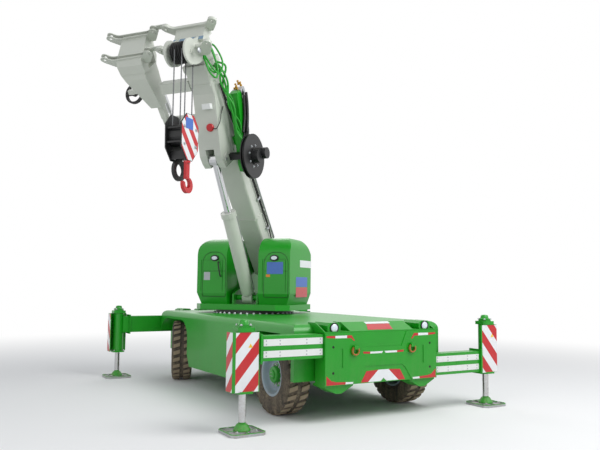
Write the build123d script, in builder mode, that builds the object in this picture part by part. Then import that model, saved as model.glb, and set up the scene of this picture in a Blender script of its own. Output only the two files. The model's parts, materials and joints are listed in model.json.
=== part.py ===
"""Compact pick-and-carry crane with a slewing turret, a luffing telescopic boom and four outriggers.

Frame: millimetres, +Z up, the end plate with the lamps faces -Y.  The origin is on the ground,
in the middle of the crane's whole outline as it stands, with the boom turned out to the left.
"""
from build123d import *
from math import cos, hypot, radians, sin
import os

# ---------------------------------------------------------------- driving dimensions
CENTRE_X = 359          # the chassis centre line stands this far right of the outline's middle
PAD_X = 1910            # outrigger jack axes, across
PAD_Y = 2543            # outrigger jack axes, along
HALF_WIDTH = 1160       # chassis, across the skirts
SILL_Z = 310            # underside of the hull between the axles
BELLY_Z = 620           # underside of the spine over the axles
FENDER_Z = 750          # the deck moulding starts here, where the arches begin to round
SKIRT_Z = 490           # underside of the skirts round the wheels
ARCH_Z = 1050           # crown of the wheel arches
DECK_Z = 1180
DECK_END = 2400         # the deck stops here, the beam boxes stand outside it
SPINE_HALF = 540

BOX_HALF = 880          # beam boxes and end plates, across
BOX_Y0, BOX_Y1 = 2436, 2640
BOX_Z0, BOX_Z1 = 460, 1100
PLATE_T = 24
BEAM_Y = 168            # outrigger beam, thickness along Y
BEAM_H = 284
BEAM_GAP = 6            # running clearance in the box
UPPER_Z = 933           # beam axes
LOWER_Z = 622
BEAM_STROKE = 830
BEAM_TAIL = 180         # inner end of a beam when it is out
LEG_STROKE = 300
JACK_TUBE_R = 92
JACK_FLANGE_Z = 444
JACK_TOP_Z = 1130
GUARD_HALF = 165
ROD_R = 43
PAD_SIZE = 424

TYRE_R = 505
TYRE_W = 350
TREAD_R = 478           # tyre carcass under the lugs
RIM_R = 262
WHEEL_FLATS = 24        # turned wheel and sheave outlines are cut as this many flats
LUGS = WHEEL_FLATS // 2  # lugs in each of the two rows, one to every second flat
TRACK = 978
WHEELBASE = 1760
KINGPIN_X = 740
STEER_REST = -21        # the far wheels stand turned by this much

SLEW_Y = 970
SLEW_REST = 54          # boom turned from -Y towards -X
RING_R = 650
RING_Z = 1240
TURRET_Z = 1330         # top of the turret base plate
POD_X0, POD_X1 = 300, 880
POD_HALF = 450
POD_TOP = 2450

PIVOT_FWD, PIVOT_Z = -400, 2170
LUFF_REST = 51
FOOT_FWD, FOOT_Z = 180, 1440
EYE_S, EYE_H = 2264, -506       # rod eye, in the boom's own side view
BARREL_R, LUFF_ROD_R = 112, 60
BARREL_LENGTH = 1600
LUFF_ROD = 1500

BOOM_W, BOOM_H, BOOM_WALL = 396, 420, 12
BOOM_TAIL, BOOM_END = -250, 3700
MID_W, MID_H = 346, 370
TIP_W, TIP_H = 300, 324
CHEEK = 30              # head cheek plates stand outside the tip section
SHEAVE_X, SHEAVE_S, SHEAVE_H, SHEAVE_R = 50, 3990, -430, 160
SHEAVE_PITCH = 62

EAR_UP = (4260, 20)     # upper pair of jib ears, in the boom's own side view
EAR_LOW = (4040, -310)
EAR_SPAN = 400          # ear holes stand this far off the middle of head and jib
EAR_R, EAR_HOLE = 70, 24
JIB_X = -1020           # the folded jib hangs on this side of the boom
ROPE_R = 9
HOOK_DROP = 930         # sheave axle down to the top of the hook block

# ---------------------------------------------------------------- frames of the chassis, turret and boom
centre = Vector(CENTRE_X, 0, 0)
ground = Plane(origin=centre)
lengthwise = Plane(origin=centre, x_dir=(0, 1, 0), z_dir=(1, 0, 0))
crosswise = Plane(origin=centre, x_dir=(1, 0, 0), z_dir=(0, -1, 0))
lateral = Vector(cos(radians(SLEW_REST)), -sin(radians(SLEW_REST)), 0)
forward = Vector(-sin(radians(SLEW_REST)), -cos(radians(SLEW_REST)), 0)
up = Vector(0, 0, 1)
slew_centre = centre + Vector(0, SLEW_Y, 0)
turret = Plane(origin=slew_centre, x_dir=lateral, z_dir=up)

pivot = slew_centre + forward * PIVOT_FWD + up * PIVOT_Z
along = forward * cos(radians(LUFF_REST)) + up * sin(radians(LUFF_REST))
boom_top = up * cos(radians(LUFF_REST)) - forward * sin(radians(LUFF_REST))
boom_cross = Plane(origin=pivot, x_dir=lateral, z_dir=along)

foot = slew_centre + forward * FOOT_FWD + up * FOOT_Z
eye = pivot + along * EYE_S + boom_top * EYE_H
ram = (eye - foot).normalized()
ram_length = (eye - foot).length
ram_cross = Plane(origin=foot, x_dir=lateral, z_dir=ram)

sheave = pivot + lateral * SHEAVE_X + along * SHEAVE_S + boom_top * SHEAVE_H

ear_gap = hypot(EAR_UP[0] - EAR_LOW[0], EAR_UP[1] - EAR_LOW[1])
ear_pin = (along * (EAR_UP[0] - EAR_LOW[0]) + boom_top * (EAR_UP[1] - EAR_LOW[1])) / ear_gap


def turret_side(x):
    """Side view of the turret at a lateral place: sketch x is forward, y is up."""
    return Plane(origin=slew_centre + lateral * x, x_dir=forward, z_dir=lateral * -1)


def turret_front(y):
    """Front view of the turret at a forward place: sketch x is lateral, y is up."""
    return Plane(origin=slew_centre + forward * y, x_dir=lateral, z_dir=forward)


def boom_side(x):
    """Side view of the boom at a lateral place: sketch x runs along the boom, y to its top."""
    return Plane(origin=pivot + lateral * x, x_dir=along, z_dir=lateral * -1)


def hang_side(x):
    """Side view below the head sheaves: sketch x is forward, y is up, origin on their axle."""
    return Plane(origin=sheave + lateral * x, x_dir=forward, z_dir=lateral * -1)


def ear_plane(x, place, shift=0):
    """Plane of a pair of ears: sketch x is lateral and y points out past the holes."""
    hole = pivot + lateral * x + along * place[0] + boom_top * place[1]
    return Plane(origin=hole + ear_pin * shift, x_dir=lateral, z_dir=ear_pin * -1)


def wheel_plane(x, y, turn, offset):
    """Plane across a wheel's axle, at an offset outward from the wheel's middle."""
    outward = 1 if x > 0 else -1
    axle = Vector(cos(radians(turn)) * outward, sin(radians(turn)) * outward, 0)
    return Plane(origin=centre + Vector(x, y, TYRE_R) + axle * offset, x_dir=up, z_dir=axle)


os.makedirs("parts", exist_ok=True)


def keep(builder, name):
    """Label a finished piece and write its STEP file."""
    builder.part.label = name
    export_step(builder.part, f"parts/{name}.step")


# ---------------------------------------------------------------- chassis
ARCHES = [
    # centre y, half length, inner wall
    (-WHEELBASE, 565, 740),
    (WHEELBASE, 650, SPINE_HALF),
]

with BuildPart() as hull:
    with BuildSketch(lengthwise):
        with BuildLine():
            Polyline(
                (-1080, SILL_Z), (1000, SILL_Z), (1100, SKIRT_Z), (DECK_END, SKIRT_Z),
                (DECK_END, DECK_Z), (-DECK_END, DECK_Z), (-DECK_END, SKIRT_Z),
                (-1180, SKIRT_Z), (-1080, SILL_Z),
            )
        make_face()
        fillet(vertices().group_by(Axis.Y)[-1], 120)
    extrude(amount=HALF_WIDTH, both=True)
    # the shoulders of the deck are round along both sides too
    with BuildSketch(crosswise.offset(-DECK_END - 1)):
        with BuildLine():
            Polyline(
                (-HALF_WIDTH, DECK_Z - 90), (-HALF_WIDTH, SILL_Z - 1), (HALF_WIDTH, SILL_Z - 1),
                (HALF_WIDTH, DECK_Z - 90),
            )
            ThreePointArc(
                (HALF_WIDTH, DECK_Z - 90), (HALF_WIDTH - 26, DECK_Z - 26), (HALF_WIDTH - 90, DECK_Z)
            )
            Line((HALF_WIDTH - 90, DECK_Z), (-HALF_WIDTH + 90, DECK_Z))
            ThreePointArc(
                (-HALF_WIDTH + 90, DECK_Z), (-HALF_WIDTH + 26, DECK_Z - 26), (-HALF_WIDTH, DECK_Z - 90)
            )
        make_face()
    extrude(amount=2 * DECK_END + 2, mode=Mode.INTERSECT)
    for centre_y, half, wall in ARCHES:
        for side in (-1, 1):
            with BuildSketch(lengthwise.offset(side * wall)):
                with Locations((centre_y, ARCH_Z - 500)):
                    Rectangle(2 * half, 1000)
                fillet(vertices().group_by(Axis.Y)[-1], 300)
            extrude(amount=side * (HALF_WIDTH - wall + 20), mode=Mode.SUBTRACT)
        with BuildSketch(ground.offset(BELLY_Z)):
            with Locations((0, centre_y)):
                Rectangle(2 * wall + 2, 2 * half)
        extrude(amount=SILL_Z - BELLY_Z, mode=Mode.SUBTRACT)

# the deck with its fenders is one moulding, laid on the frame where the arches start to round
with BuildPart() as chassis:
    add(hull.part)
    split(bisect_by=ground.offset(FENDER_Z), keep=Keep.BOTTOM)
keep(chassis, "chassis")

with BuildPart() as deck:
    add(hull.part)
    split(bisect_by=ground.offset(FENDER_Z), keep=Keep.TOP)
keep(deck, "deck")

# ---------------------------------------------------------------- beam boxes with hood, lamp pods and skids
with BuildPart() as beam_boxes:
    for end in (-1, 1):
        with BuildSketch(crosswise.offset(-end * BOX_Y0)):
            with Locations((0, (BOX_Z0 + BOX_Z1) / 2)):
                Rectangle(2 * BOX_HALF, BOX_Z1 - BOX_Z0)
        extrude(amount=-end * (BOX_Y1 - BOX_Y0))
        with BuildSketch(crosswise.offset(-end * DECK_END)):
            with Locations((0, (BELLY_Z + DECK_Z) / 2 - 10)):
                Rectangle(2 * 760, DECK_Z - BELLY_Z - 60)
        extrude(amount=-end * (BOX_Y0 - DECK_END + 10))
        for side, z in ((-1, UPPER_Z), (1, LOWER_Z)):
            with BuildSketch(lengthwise.offset(side * (BOX_HALF + 1))):
                with Locations((end * PAD_Y, z)):
                    Rectangle(BEAM_Y + 2 * BEAM_GAP, BEAM_H + 2 * BEAM_GAP)
            extrude(amount=-side * (BOX_HALF + 781), mode=Mode.SUBTRACT)
        # sloped hood over the box between two lamp pods, with a cheek at each end of it
        for x, half in ((0, 500), (-BOX_HALF + 8, 8), (BOX_HALF - 8, 8)):
            with BuildSketch(lengthwise.offset(x)):
                with BuildLine():
                    Polyline(
                        (end * (DECK_END - 140), BOX_Z1 - 10), (end * BOX_Y1, BOX_Z1 - 10),
                        (end * BOX_Y1, BOX_Z1), (end * (DECK_END + 30), DECK_Z + 20),
                        (end * (DECK_END - 140), DECK_Z + 20), (end * (DECK_END - 140), BOX_Z1 - 10),
                    )
                make_face()
            extrude(amount=half, both=True)
        for x in (-720, 720):
            with BuildSketch(crosswise.offset(-end * (DECK_END - 120))):
                with Locations((x, BOX_Z1 + 40)):
                    Rectangle(190, 130)
                chamfer(vertices(), 34)
            extrude(amount=-end * 330)
            with BuildSketch(crosswise.offset(-end * (DECK_END + 211))):
                with Locations((x, BOX_Z1 + 42)):
                    RegularPolygon(46, 12)
            extrude(amount=end * 36, mode=Mode.SUBTRACT)
        # skid skins under the box
        for x in (-660, 660):
            with BuildSketch(crosswise.offset(-end * (BOX_Y0 - 60))):
                with BuildLine():
                    Polyline(
                        (x - 210, BOX_Z0 + 5), (x - 210, BOX_Z0 - 20), (x - 40, BOX_Z0 - 105),
                        (x + 40, BOX_Z0 - 105), (x + 210, BOX_Z0 - 20), (x + 210, BOX_Z0 + 5),
                        (x - 210, BOX_Z0 + 5),
                    )
                make_face()
            extrude(amount=-end * (BOX_Y1 - BOX_Y0 + 50))
    # the deck fills its own room under the pods and the hood
    add(hull.part, mode=Mode.SUBTRACT)
keep(beam_boxes, "beam_boxes")

# ---------------------------------------------------------------- end plates with lifting rings
for end, name in ((-1, "end_plate_near"), (1, "end_plate_far")):
    face = crosswise.offset(-end * BOX_Y1)
    skin = crosswise.offset(-end * (BOX_Y1 + PLATE_T))
    with BuildPart() as end_plate:
        with BuildSketch(face):
            with Locations((0, (BOX_Z0 + BOX_Z1) / 2 - 8)):
                Rectangle(2 * BOX_HALF, BOX_Z1 - BOX_Z0 - 16)
        extrude(amount=-end * PLATE_T)
        # raised field left between two pressed trapezoids
        with BuildSketch(skin):
            with BuildLine():
                Polyline((-380, BOX_Z1), (-290, 900), (290, 900), (380, BOX_Z1), (-380, BOX_Z1))
            make_face()
            with BuildLine():
                Polyline(
                    (-460, BOX_Z0 - 1), (-350, 625), (-290, 668), (290, 668), (350, 625),
                    (460, BOX_Z0 - 1), (-460, BOX_Z0 - 1),
                )
            make_face()
            with Locations((-640, 780), (640, 780)):
                Rectangle(34, 230)
        extrude(amount=end * 8, mode=Mode.SUBTRACT)
        for x in (-450, 450):
            with BuildSketch(skin):
                with Locations((x, 905)):
                    Rectangle(60, 46)
            extrude(amount=-end * 46)
            with BuildSketch(crosswise.offset(-end * (BOX_Y1 + PLATE_T + 12))):
                with Locations((x, 862)):
                    RegularPolygon(58, 16)
                    RegularPolygon(36, 16, mode=Mode.SUBTRACT)
            extrude(amount=-end * 22)
    keep(end_plate, name)

# ---------------------------------------------------------------- axles, power pack, slew ring
AXLE_NEAR_END = TRACK - 150

with BuildPart() as axle_near:
    for radius, half in ((80, AXLE_NEAR_END), (150, 90), (112, 240), (104, 560)):
        with BuildSketch(lengthwise.offset(-half)):
            with Locations((-WHEELBASE, TYRE_R)):
                RegularPolygon(radius, 16)
        extrude(amount=2 * half)
    for x in (-420, 420):
        with BuildSketch(ground.offset(TYRE_R)):
            with Locations((x, -WHEELBASE)):
                Rectangle(120, 180)
        extrude(amount=BELLY_Z - TYRE_R)
    with BuildSketch(ground.offset(BELLY_Z)):
        with Locations((0, -WHEELBASE)):
            Rectangle(700, 400)
    extrude(amount=80, mode=Mode.SUBTRACT)
keep(axle_near, "axle_near")

AXLE_END = KINGPIN_X - 66

with BuildPart() as axle_far:
    with BuildSketch(crosswise.offset(-WHEELBASE + 75)):
        with BuildLine():
            Polyline(
                (-AXLE_END, TYRE_R - 70), (-420, TYRE_R - 110), (420, TYRE_R - 110),
                (AXLE_END, TYRE_R - 70), (AXLE_END, TYRE_R + 70), (480, TYRE_R + 50),
                (480, BELLY_Z), (-480, BELLY_Z), (-480, TYRE_R + 50), (-AXLE_END, TYRE_R + 70),
                (-AXLE_END, TYRE_R - 70),
            )
        make_face()
    extrude(amount=150)
keep(axle_far, "axle_far")

with BuildPart() as power_pack:
    with BuildSketch(ground.offset(SILL_Z - 60)):
        with Locations((0, -120)):
            Rectangle(1500, 1500)
        chamfer(vertices(), 60)
    extrude(amount=60)
keep(power_pack, "power_pack")

with BuildPart() as slew_ring:
    with BuildSketch(ground.offset(DECK_Z)):
        with Locations((0, SLEW_Y)):
            RegularPolygon(RING_R, 48)
            RegularPolygon(RING_R - 130, 24, mode=Mode.SUBTRACT)
    extrude(amount=RING_Z - DECK_Z - 4)
keep(slew_ring, "slew_ring")

# ---------------------------------------------------------------- wheels and knuckles
WHEELS = [
    # name, x, y, steering angle at rest
    ("near_left", -TRACK, -WHEELBASE, 0),
    ("near_right", TRACK, -WHEELBASE, 0),
    ("far_left", -TRACK, WHEELBASE, STEER_REST),
    ("far_right", TRACK, WHEELBASE, STEER_REST),
]
HALF_TYRE = TYRE_W / 2
SHOULDER = 26           # the tread stops this far inside the widest place of the tyre
BEAD = 48
WIDEST_R = RIM_R + 96
BEAD_R = RIM_R + 24


def wheel_centre(x, y, turn):
    """Middle of a wheel after its kingpin has turned it."""
    if turn == 0:
        return x, y
    side = 1 if x > 0 else -1
    reach = abs(x) - KINGPIN_X
    return side * (KINGPIN_X + reach * cos(radians(turn))), y + side * reach * sin(radians(turn))


with BuildPart() as tyre_form:
    with BuildSketch(Plane.XY):
        RegularPolygon(TREAD_R, WHEEL_FLATS)
        RegularPolygon(RIM_R, WHEEL_FLATS, mode=Mode.SUBTRACT)
    extrude(amount=HALF_TYRE, both=True)
    for side in (-1, 1):
        with BuildSketch(Plane.XY.offset(side * HALF_TYRE)):
            RegularPolygon(BEAD_R, WHEEL_FLATS)
        extrude(amount=-side * BEAD, mode=Mode.SUBTRACT)
        wall = tyre_form.faces().sort_by(Axis.Z)[-1 if side > 0 else 0]
        chamfer(wall.inner_wires()[0].edges(), WIDEST_R - BEAD_R - 4, BEAD - 12, reference=wall)
        wall = tyre_form.faces().sort_by(Axis.Z)[-1 if side > 0 else 0]
        chamfer(wall.outer_wire().edges(), TREAD_R - WIDEST_R - 4, SHOULDER, reference=wall)
    # two rows of lugs, each on every second flat, one row standing in the gaps of the other
    for first, side in ((0.5, 1), (1.5, -1)):
        with BuildSketch(Plane.XY.offset(side * 10)):
            with PolarLocations(TYRE_R - 22, LUGS, start_angle=first * 360 / WHEEL_FLATS):
                Trapezoid(72, 36, 75, rotation=-90)
        extrude(amount=side * (HALF_TYRE - 42))

with BuildPart() as rim_form:
    for start, stop, radius in ((-128, 128, RIM_R), (-142, -127, RIM_R + 22), (127, 142, RIM_R + 22)):
        with BuildSketch(Plane.XY.offset(start)):
            RegularPolygon(radius, WHEEL_FLATS)
        extrude(amount=stop - start)
    # drop centre inside, deep on the outer face
    with BuildSketch(Plane.XY.offset(142)):
        RegularPolygon(RIM_R - 18, WHEEL_FLATS)
    extrude(amount=-116, mode=Mode.SUBTRACT)
    with BuildSketch(Plane.XY.offset(-142)):
        RegularPolygon(RIM_R - 22, 14)
    extrude(amount=152, mode=Mode.SUBTRACT)
    with BuildSketch(Plane.XY.offset(-60)):
        RegularPolygon(150, 14)
    extrude(amount=120)
    with BuildSketch(Plane.XY.offset(59)):
        RegularPolygon(105, 14)
    extrude(amount=62)
    with BuildSketch(Plane.XY.offset(120)):
        RegularPolygon(62, 8)
    extrude(amount=20)

for name, x, y, turn in WHEELS:
    cx, cy = wheel_centre(x, y, turn)
    hub = wheel_plane(cx, cy, turn, 0).location
    with BuildPart() as tyre:
        with Locations(hub):
            add(tyre_form.part)
    keep(tyre, f"tyre_{name}")
    with BuildPart() as rim:
        with Locations(hub):
            add(rim_form.part)
    keep(rim, f"rim_{name}")

for name, side in (("knuckle_left", -1), ("knuckle_right", 1)):
    spindle = wheel_plane(side * KINGPIN_X, WHEELBASE, STEER_REST, 0)
    with BuildPart() as knuckle:
        with BuildSketch(ground.offset(TYRE_R - 130)):
            with Locations((side * KINGPIN_X, WHEELBASE)):
                RegularPolygon(60, 12)
        extrude(amount=260)
        with BuildSketch(spindle):
            Rectangle(110, 96)
        extrude(amount=TRACK - KINGPIN_X - 66)
    keep(knuckle, name)

# ---------------------------------------------------------------- outriggers
OUTRIGGERS = [
    # name, side, end, beam height
    ("near_left", -1, -1, UPPER_Z),
    ("near_right", 1, -1, LOWER_Z),
    ("far_left", -1, 1, UPPER_Z),
    ("far_right", 1, 1, LOWER_Z),
]

for name, side, end, z in OUTRIGGERS:
    jack_x, jack_y = side * PAD_X, end * PAD_Y
    with BuildPart() as beam:
        with BuildSketch(lengthwise.offset(side * BEAM_TAIL)):
            with Locations((jack_y, z)):
                Rectangle(BEAM_Y, BEAM_H)
        extrude(amount=side * (PAD_X - BEAM_TAIL - 60))
        # lipped end plate where the beam meets the jack tube
        with BuildSketch(lengthwise.offset(side * (PAD_X - 190))):
            with Locations((jack_y, z)):
                Rectangle(BEAM_Y + 64, BEAM_H + 54)
        extrude(amount=side * 22)
        with BuildSketch(ground.offset(JACK_FLANGE_Z)):
            with Locations((jack_x, jack_y)):
                RegularPolygon(JACK_TUBE_R, 20)
        extrude(amount=JACK_TOP_Z - JACK_FLANGE_Z)
        for plate_z, size, thick in ((JACK_FLANGE_Z, 206, 26), (JACK_TOP_Z - 1, 210, 46), (JACK_TOP_Z + 44, 150, 24)):
            with BuildSketch(ground.offset(plate_z)):
                with Locations((jack_x, jack_y)):
                    Rectangle(size, size)
                chamfer(vertices(), 30)
            extrude(amount=thick)
        # guard plate bent round the outer side of the jack
        guard_y = jack_y + end * 96
        with BuildSketch(ground.offset(JACK_FLANGE_Z + 16)):
            with BuildLine():
                Polyline(
                    (jack_x - side * GUARD_HALF, guard_y - end * 8),
                    (jack_x - side * (GUARD_HALF - 14), guard_y),
                    (jack_x + side * (GUARD_HALF - 26), guard_y),
                    (jack_x + side * GUARD_HALF, guard_y - end * 26),
                    (jack_x + side * GUARD_HALF, guard_y - end * 190),
                    (jack_x + side * (GUARD_HALF - 10), guard_y - end * 190),
                    (jack_x + side * (GUARD_HALF - 10), guard_y - end * 30),
                    (jack_x + side * (GUARD_HALF - 30), guard_y - end * 10),
                    (jack_x - side * (GUARD_HALF - 14), guard_y - end * 10),
                    (jack_x - side * GUARD_HALF, guard_y - end * 8),
                )
            make_face()
        extrude(amount=JACK_TOP_Z - JACK_FLANGE_Z - 20)
        with BuildSketch(ground.offset(JACK_FLANGE_Z + 16)):
            with Locations((jack_x, jack_y + end * 60)):
                Rectangle(60, 70)
        extrude(amount=JACK_TOP_Z - JACK_FLANGE_Z - 20)
        # bore for the rod
        with BuildSketch(ground.offset(JACK_FLANGE_Z - 1)):
            with Locations((jack_x, jack_y)):
                RegularPolygon(ROD_R + 4, 12)
        extrude(amount=640, mode=Mode.SUBTRACT)
    keep(beam, f"beam_{name}")
    with BuildPart() as leg:
        with BuildSketch(ground):
            with Locations((jack_x, jack_y)):
                Rectangle(PAD_SIZE, PAD_SIZE)
            chamfer(vertices(), 46)
        extrude(amount=38)
        with BuildSketch(ground.offset(16)):
            with Locations((jack_x, jack_y)):
                Rectangle(PAD_SIZE - 24, PAD_SIZE - 24)
            chamfer(vertices(), 40)
        extrude(amount=30, mode=Mode.SUBTRACT)
        # webs from the ball foot to the raised edge
        for across, deep in ((PAD_SIZE - 24, 14), (14, PAD_SIZE - 24)):
            with BuildSketch(ground.offset(15)):
                with Locations((jack_x, jack_y)):
                    Rectangle(across, deep)
            extrude(amount=19)
        with BuildSketch(ground.offset(15)):
            with Locations((jack_x, jack_y)):
                RegularPolygon(100, 12)
        extrude(amount=90)
        crown = leg.faces().sort_by(Axis.Z)[-1]
        chamfer(crown.outer_wire().edges(), 38, 60, reference=crown)
        with BuildSketch(ground.offset(15)):
            with Locations((jack_x, jack_y)):
                Circle(ROD_R)
        extrude(amount=JACK_FLANGE_Z + 250)
    keep(leg, f"leg_{name}")

# ---------------------------------------------------------------- turret
with BuildPart() as turret_base:
    with BuildSketch(turret.offset(RING_Z)):
        with Locations((0, 0)):
            Rectangle(2 * POD_X1, 1240)
        chamfer(vertices(), 180)
    extrude(amount=TURRET_Z - RING_Z)
keep(turret_base, "turret_base")

for name, side in (("pod_left", -1), ("pod_right", 1)):
    with BuildPart() as pod:
        with BuildSketch(turret_side(side * POD_X0)):
            with BuildLine():
                Polyline(
                    (POD_HALF - 330, POD_TOP), (-POD_HALF + 220, POD_TOP - 20), (-POD_HALF, POD_TOP - 260),
                    (-POD_HALF, TURRET_Z), (POD_HALF - 40, TURRET_Z), (POD_HALF, TURRET_Z + 180),
                    (POD_HALF, POD_TOP - 330),
                )
                ThreePointArc(
                    (POD_HALF, POD_TOP - 330), (POD_HALF - 92, POD_TOP - 92), (POD_HALF - 330, POD_TOP),
                )
            make_face()
        extrude(amount=-side * (POD_X1 - POD_X0))
        # seen from the front the outer shoulder is round and the skirt draws in
        with BuildSketch(turret_front(-POD_HALF - 1)):
            with BuildLine():
                Polyline(
                    (side * (POD_X1 - 200), POD_TOP), (side * POD_X0, POD_TOP), (side * POD_X0, TURRET_Z),
                    (side * (POD_X1 - 70), TURRET_Z), (side * POD_X1, TURRET_Z + 190),
                    (side * POD_X1, POD_TOP - 200),
                )
                ThreePointArc(
                    (side * POD_X1, POD_TOP - 200), (side * (POD_X1 - 59), POD_TOP - 59),
                    (side * (POD_X1 - 200), POD_TOP),
                )
            make_face()
        extrude(amount=2 * POD_HALF + 2, mode=Mode.INTERSECT)
        # door leaf, outlined by a groove with a round head
        middle = side * (POD_X0 + POD_X1) / 2
        with BuildSketch(turret_front(POD_HALF)):
            for grow, mode in ((0, Mode.ADD), (-10, Mode.SUBTRACT)):
                with Locations((middle, TURRET_Z + 480 + grow / 2)):
                    Rectangle(430 + 2 * grow, 540 + grow, mode=mode)
        extrude(amount=-10, mode=Mode.SUBTRACT)
    keep(pod, name)

with BuildPart() as boom_frame:
    for x in (-245, 215):
        with BuildSketch(turret_side(x + 30)):
            with BuildLine():
                Polyline(
                    (-640, TURRET_Z), (340, TURRET_Z), (340, 1500), (200, 1560), (-60, 1640),
                    (-240, 2200), (-300, 2320), (-500, 2320), (-640, 2000), (-640, TURRET_Z),
                )
            make_face()
        extrude(amount=30)
    with BuildSketch(turret_side(216)):
        with Locations((FOOT_FWD, FOOT_Z)):
            Circle(45)
        with Locations((PIVOT_FWD, PIVOT_Z)):
            Circle(60)
    extrude(amount=432)
keep(boom_frame, "boom_frame")

# ---------------------------------------------------------------- luffing cylinder
with BuildPart() as luff_barrel:
    with BuildSketch(ram_cross.offset(96)):
        Circle(BARREL_R)
    extrude(amount=BARREL_LENGTH - 96)
    with BuildSketch(ram_cross.offset(BARREL_LENGTH - 90)):
        RegularPolygon(BARREL_R + 16, 12)
    extrude(amount=90)
    with BuildSketch(turret_side(90)):
        with Locations((FOOT_FWD, FOOT_Z)):
            RegularPolygon(100, 12)
            RegularPolygon(46, 12, major_radius=False, mode=Mode.SUBTRACT)
    extrude(amount=180)
    with BuildSketch(ram_cross.offset(160)):
        Circle(LUFF_ROD_R + 2)
    extrude(amount=BARREL_LENGTH, mode=Mode.SUBTRACT)
keep(luff_barrel, "luff_barrel")

with BuildPart() as luff_rod:
    with BuildSketch(ram_cross.offset(ram_length - LUFF_ROD)):
        Circle(LUFF_ROD_R)
    extrude(amount=LUFF_ROD - 50)
    with BuildSketch(boom_side(64)):
        with Locations((EYE_S, EYE_H)):
            RegularPolygon(92, 12)
    extrude(amount=128)
    with BuildSketch(boom_side(65)):
        with Locations((EYE_S, EYE_H)):
            RegularPolygon(45, 12, major_radius=False)
    extrude(amount=130, mode=Mode.SUBTRACT)
keep(luff_rod, "luff_rod")

# ---------------------------------------------------------------- boom
BRACKET = [(2120, -200), (2150, -570), (2250, -600), (2380, -600), (2620, -500), (3260, -200)]

with BuildPart() as boom_base:
    with BuildSketch(boom_cross.offset(BOOM_TAIL)):
        RectangleRounded(BOOM_W, BOOM_H, 34)
    extrude(amount=BOOM_END - BOOM_TAIL)
    # collars: a deep one at the mouth and a stiffener behind it
    for place, grow, deep in ((BOOM_END - 90, 50, 90), (BOOM_END - 330, 24, 30), (900, 24, 30)):
        with BuildSketch(boom_cross.offset(place)):
            Rectangle(BOOM_W + grow, BOOM_H + grow)
            chamfer(vertices(), 40)
        extrude(amount=deep)
    with BuildSketch(boom_side(190)):
        with BuildLine():
            Polyline(*BRACKET, BRACKET[0])
        make_face()
    extrude(amount=380)
    with BuildSketch(boom_side(75)):
        with BuildLine():
            Polyline((2050, -700), (2050, -240), (2470, -240), (2470, -700), (2050, -700))
        make_face()
    extrude(amount=150, mode=Mode.SUBTRACT)
    # rests for the folded jib
    with BuildSketch(boom_side(-BOOM_W / 2 + 1)):
        with Locations((3400, -140)):
            Rectangle(170, 150)
    extrude(amount=520)
    with BuildSketch(boom_side(-BOOM_W / 2 + 1)):
        with BuildLine():
            Polyline((2620, -150), (2900, -190), (2900, -60), (2780, 60), (2620, 60), (2620, -150))
        make_face()
    extrude(amount=60)
    with BuildSketch(boom_side(-BOOM_W / 2 - 58)):
        with Locations((2830, -100)):
            Rectangle(110, 70)
    extrude(amount=690)
    with BuildSketch(boom_cross.offset(300)):
        RectangleRounded(BOOM_W - 2 * BOOM_WALL, BOOM_H - 2 * BOOM_WALL, 22)
    extrude(amount=BOOM_END, mode=Mode.SUBTRACT)
    with BuildSketch(boom_side(250)):
        with Locations((0, 0)):
            RegularPolygon(61, 16, major_radius=False)
    extrude(amount=500, mode=Mode.SUBTRACT)
keep(boom_base, "boom_base")

with BuildPart() as boom_mid:
    with BuildSketch(boom_cross.offset(350)):
        Rectangle(MID_W, MID_H)
        chamfer(vertices(), 20)
        offset(amount=-10, mode=Mode.SUBTRACT)
    extrude(amount=BOOM_END + 80 - 350)
keep(boom_mid, "boom_mid")


def ear_outline(inner, depth):
    """Half of an ear plate, from its straight middle out round the hole; it is mirrored after."""
    Line((inner, -20), (EAR_SPAN - 160, -20))
    ThreePointArc((EAR_SPAN - 160, -20), (EAR_SPAN - 100, -5), (EAR_SPAN - 62, 33))
    ThreePointArc((EAR_SPAN - 62, 33), (EAR_SPAN + 30, 63.3), (EAR_SPAN + EAR_R, 0))
    Polyline(
        (EAR_SPAN + EAR_R, 0), (EAR_SPAN + 44, -56), (EAR_SPAN - 80, -depth), (inner, -depth),
    )


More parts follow.
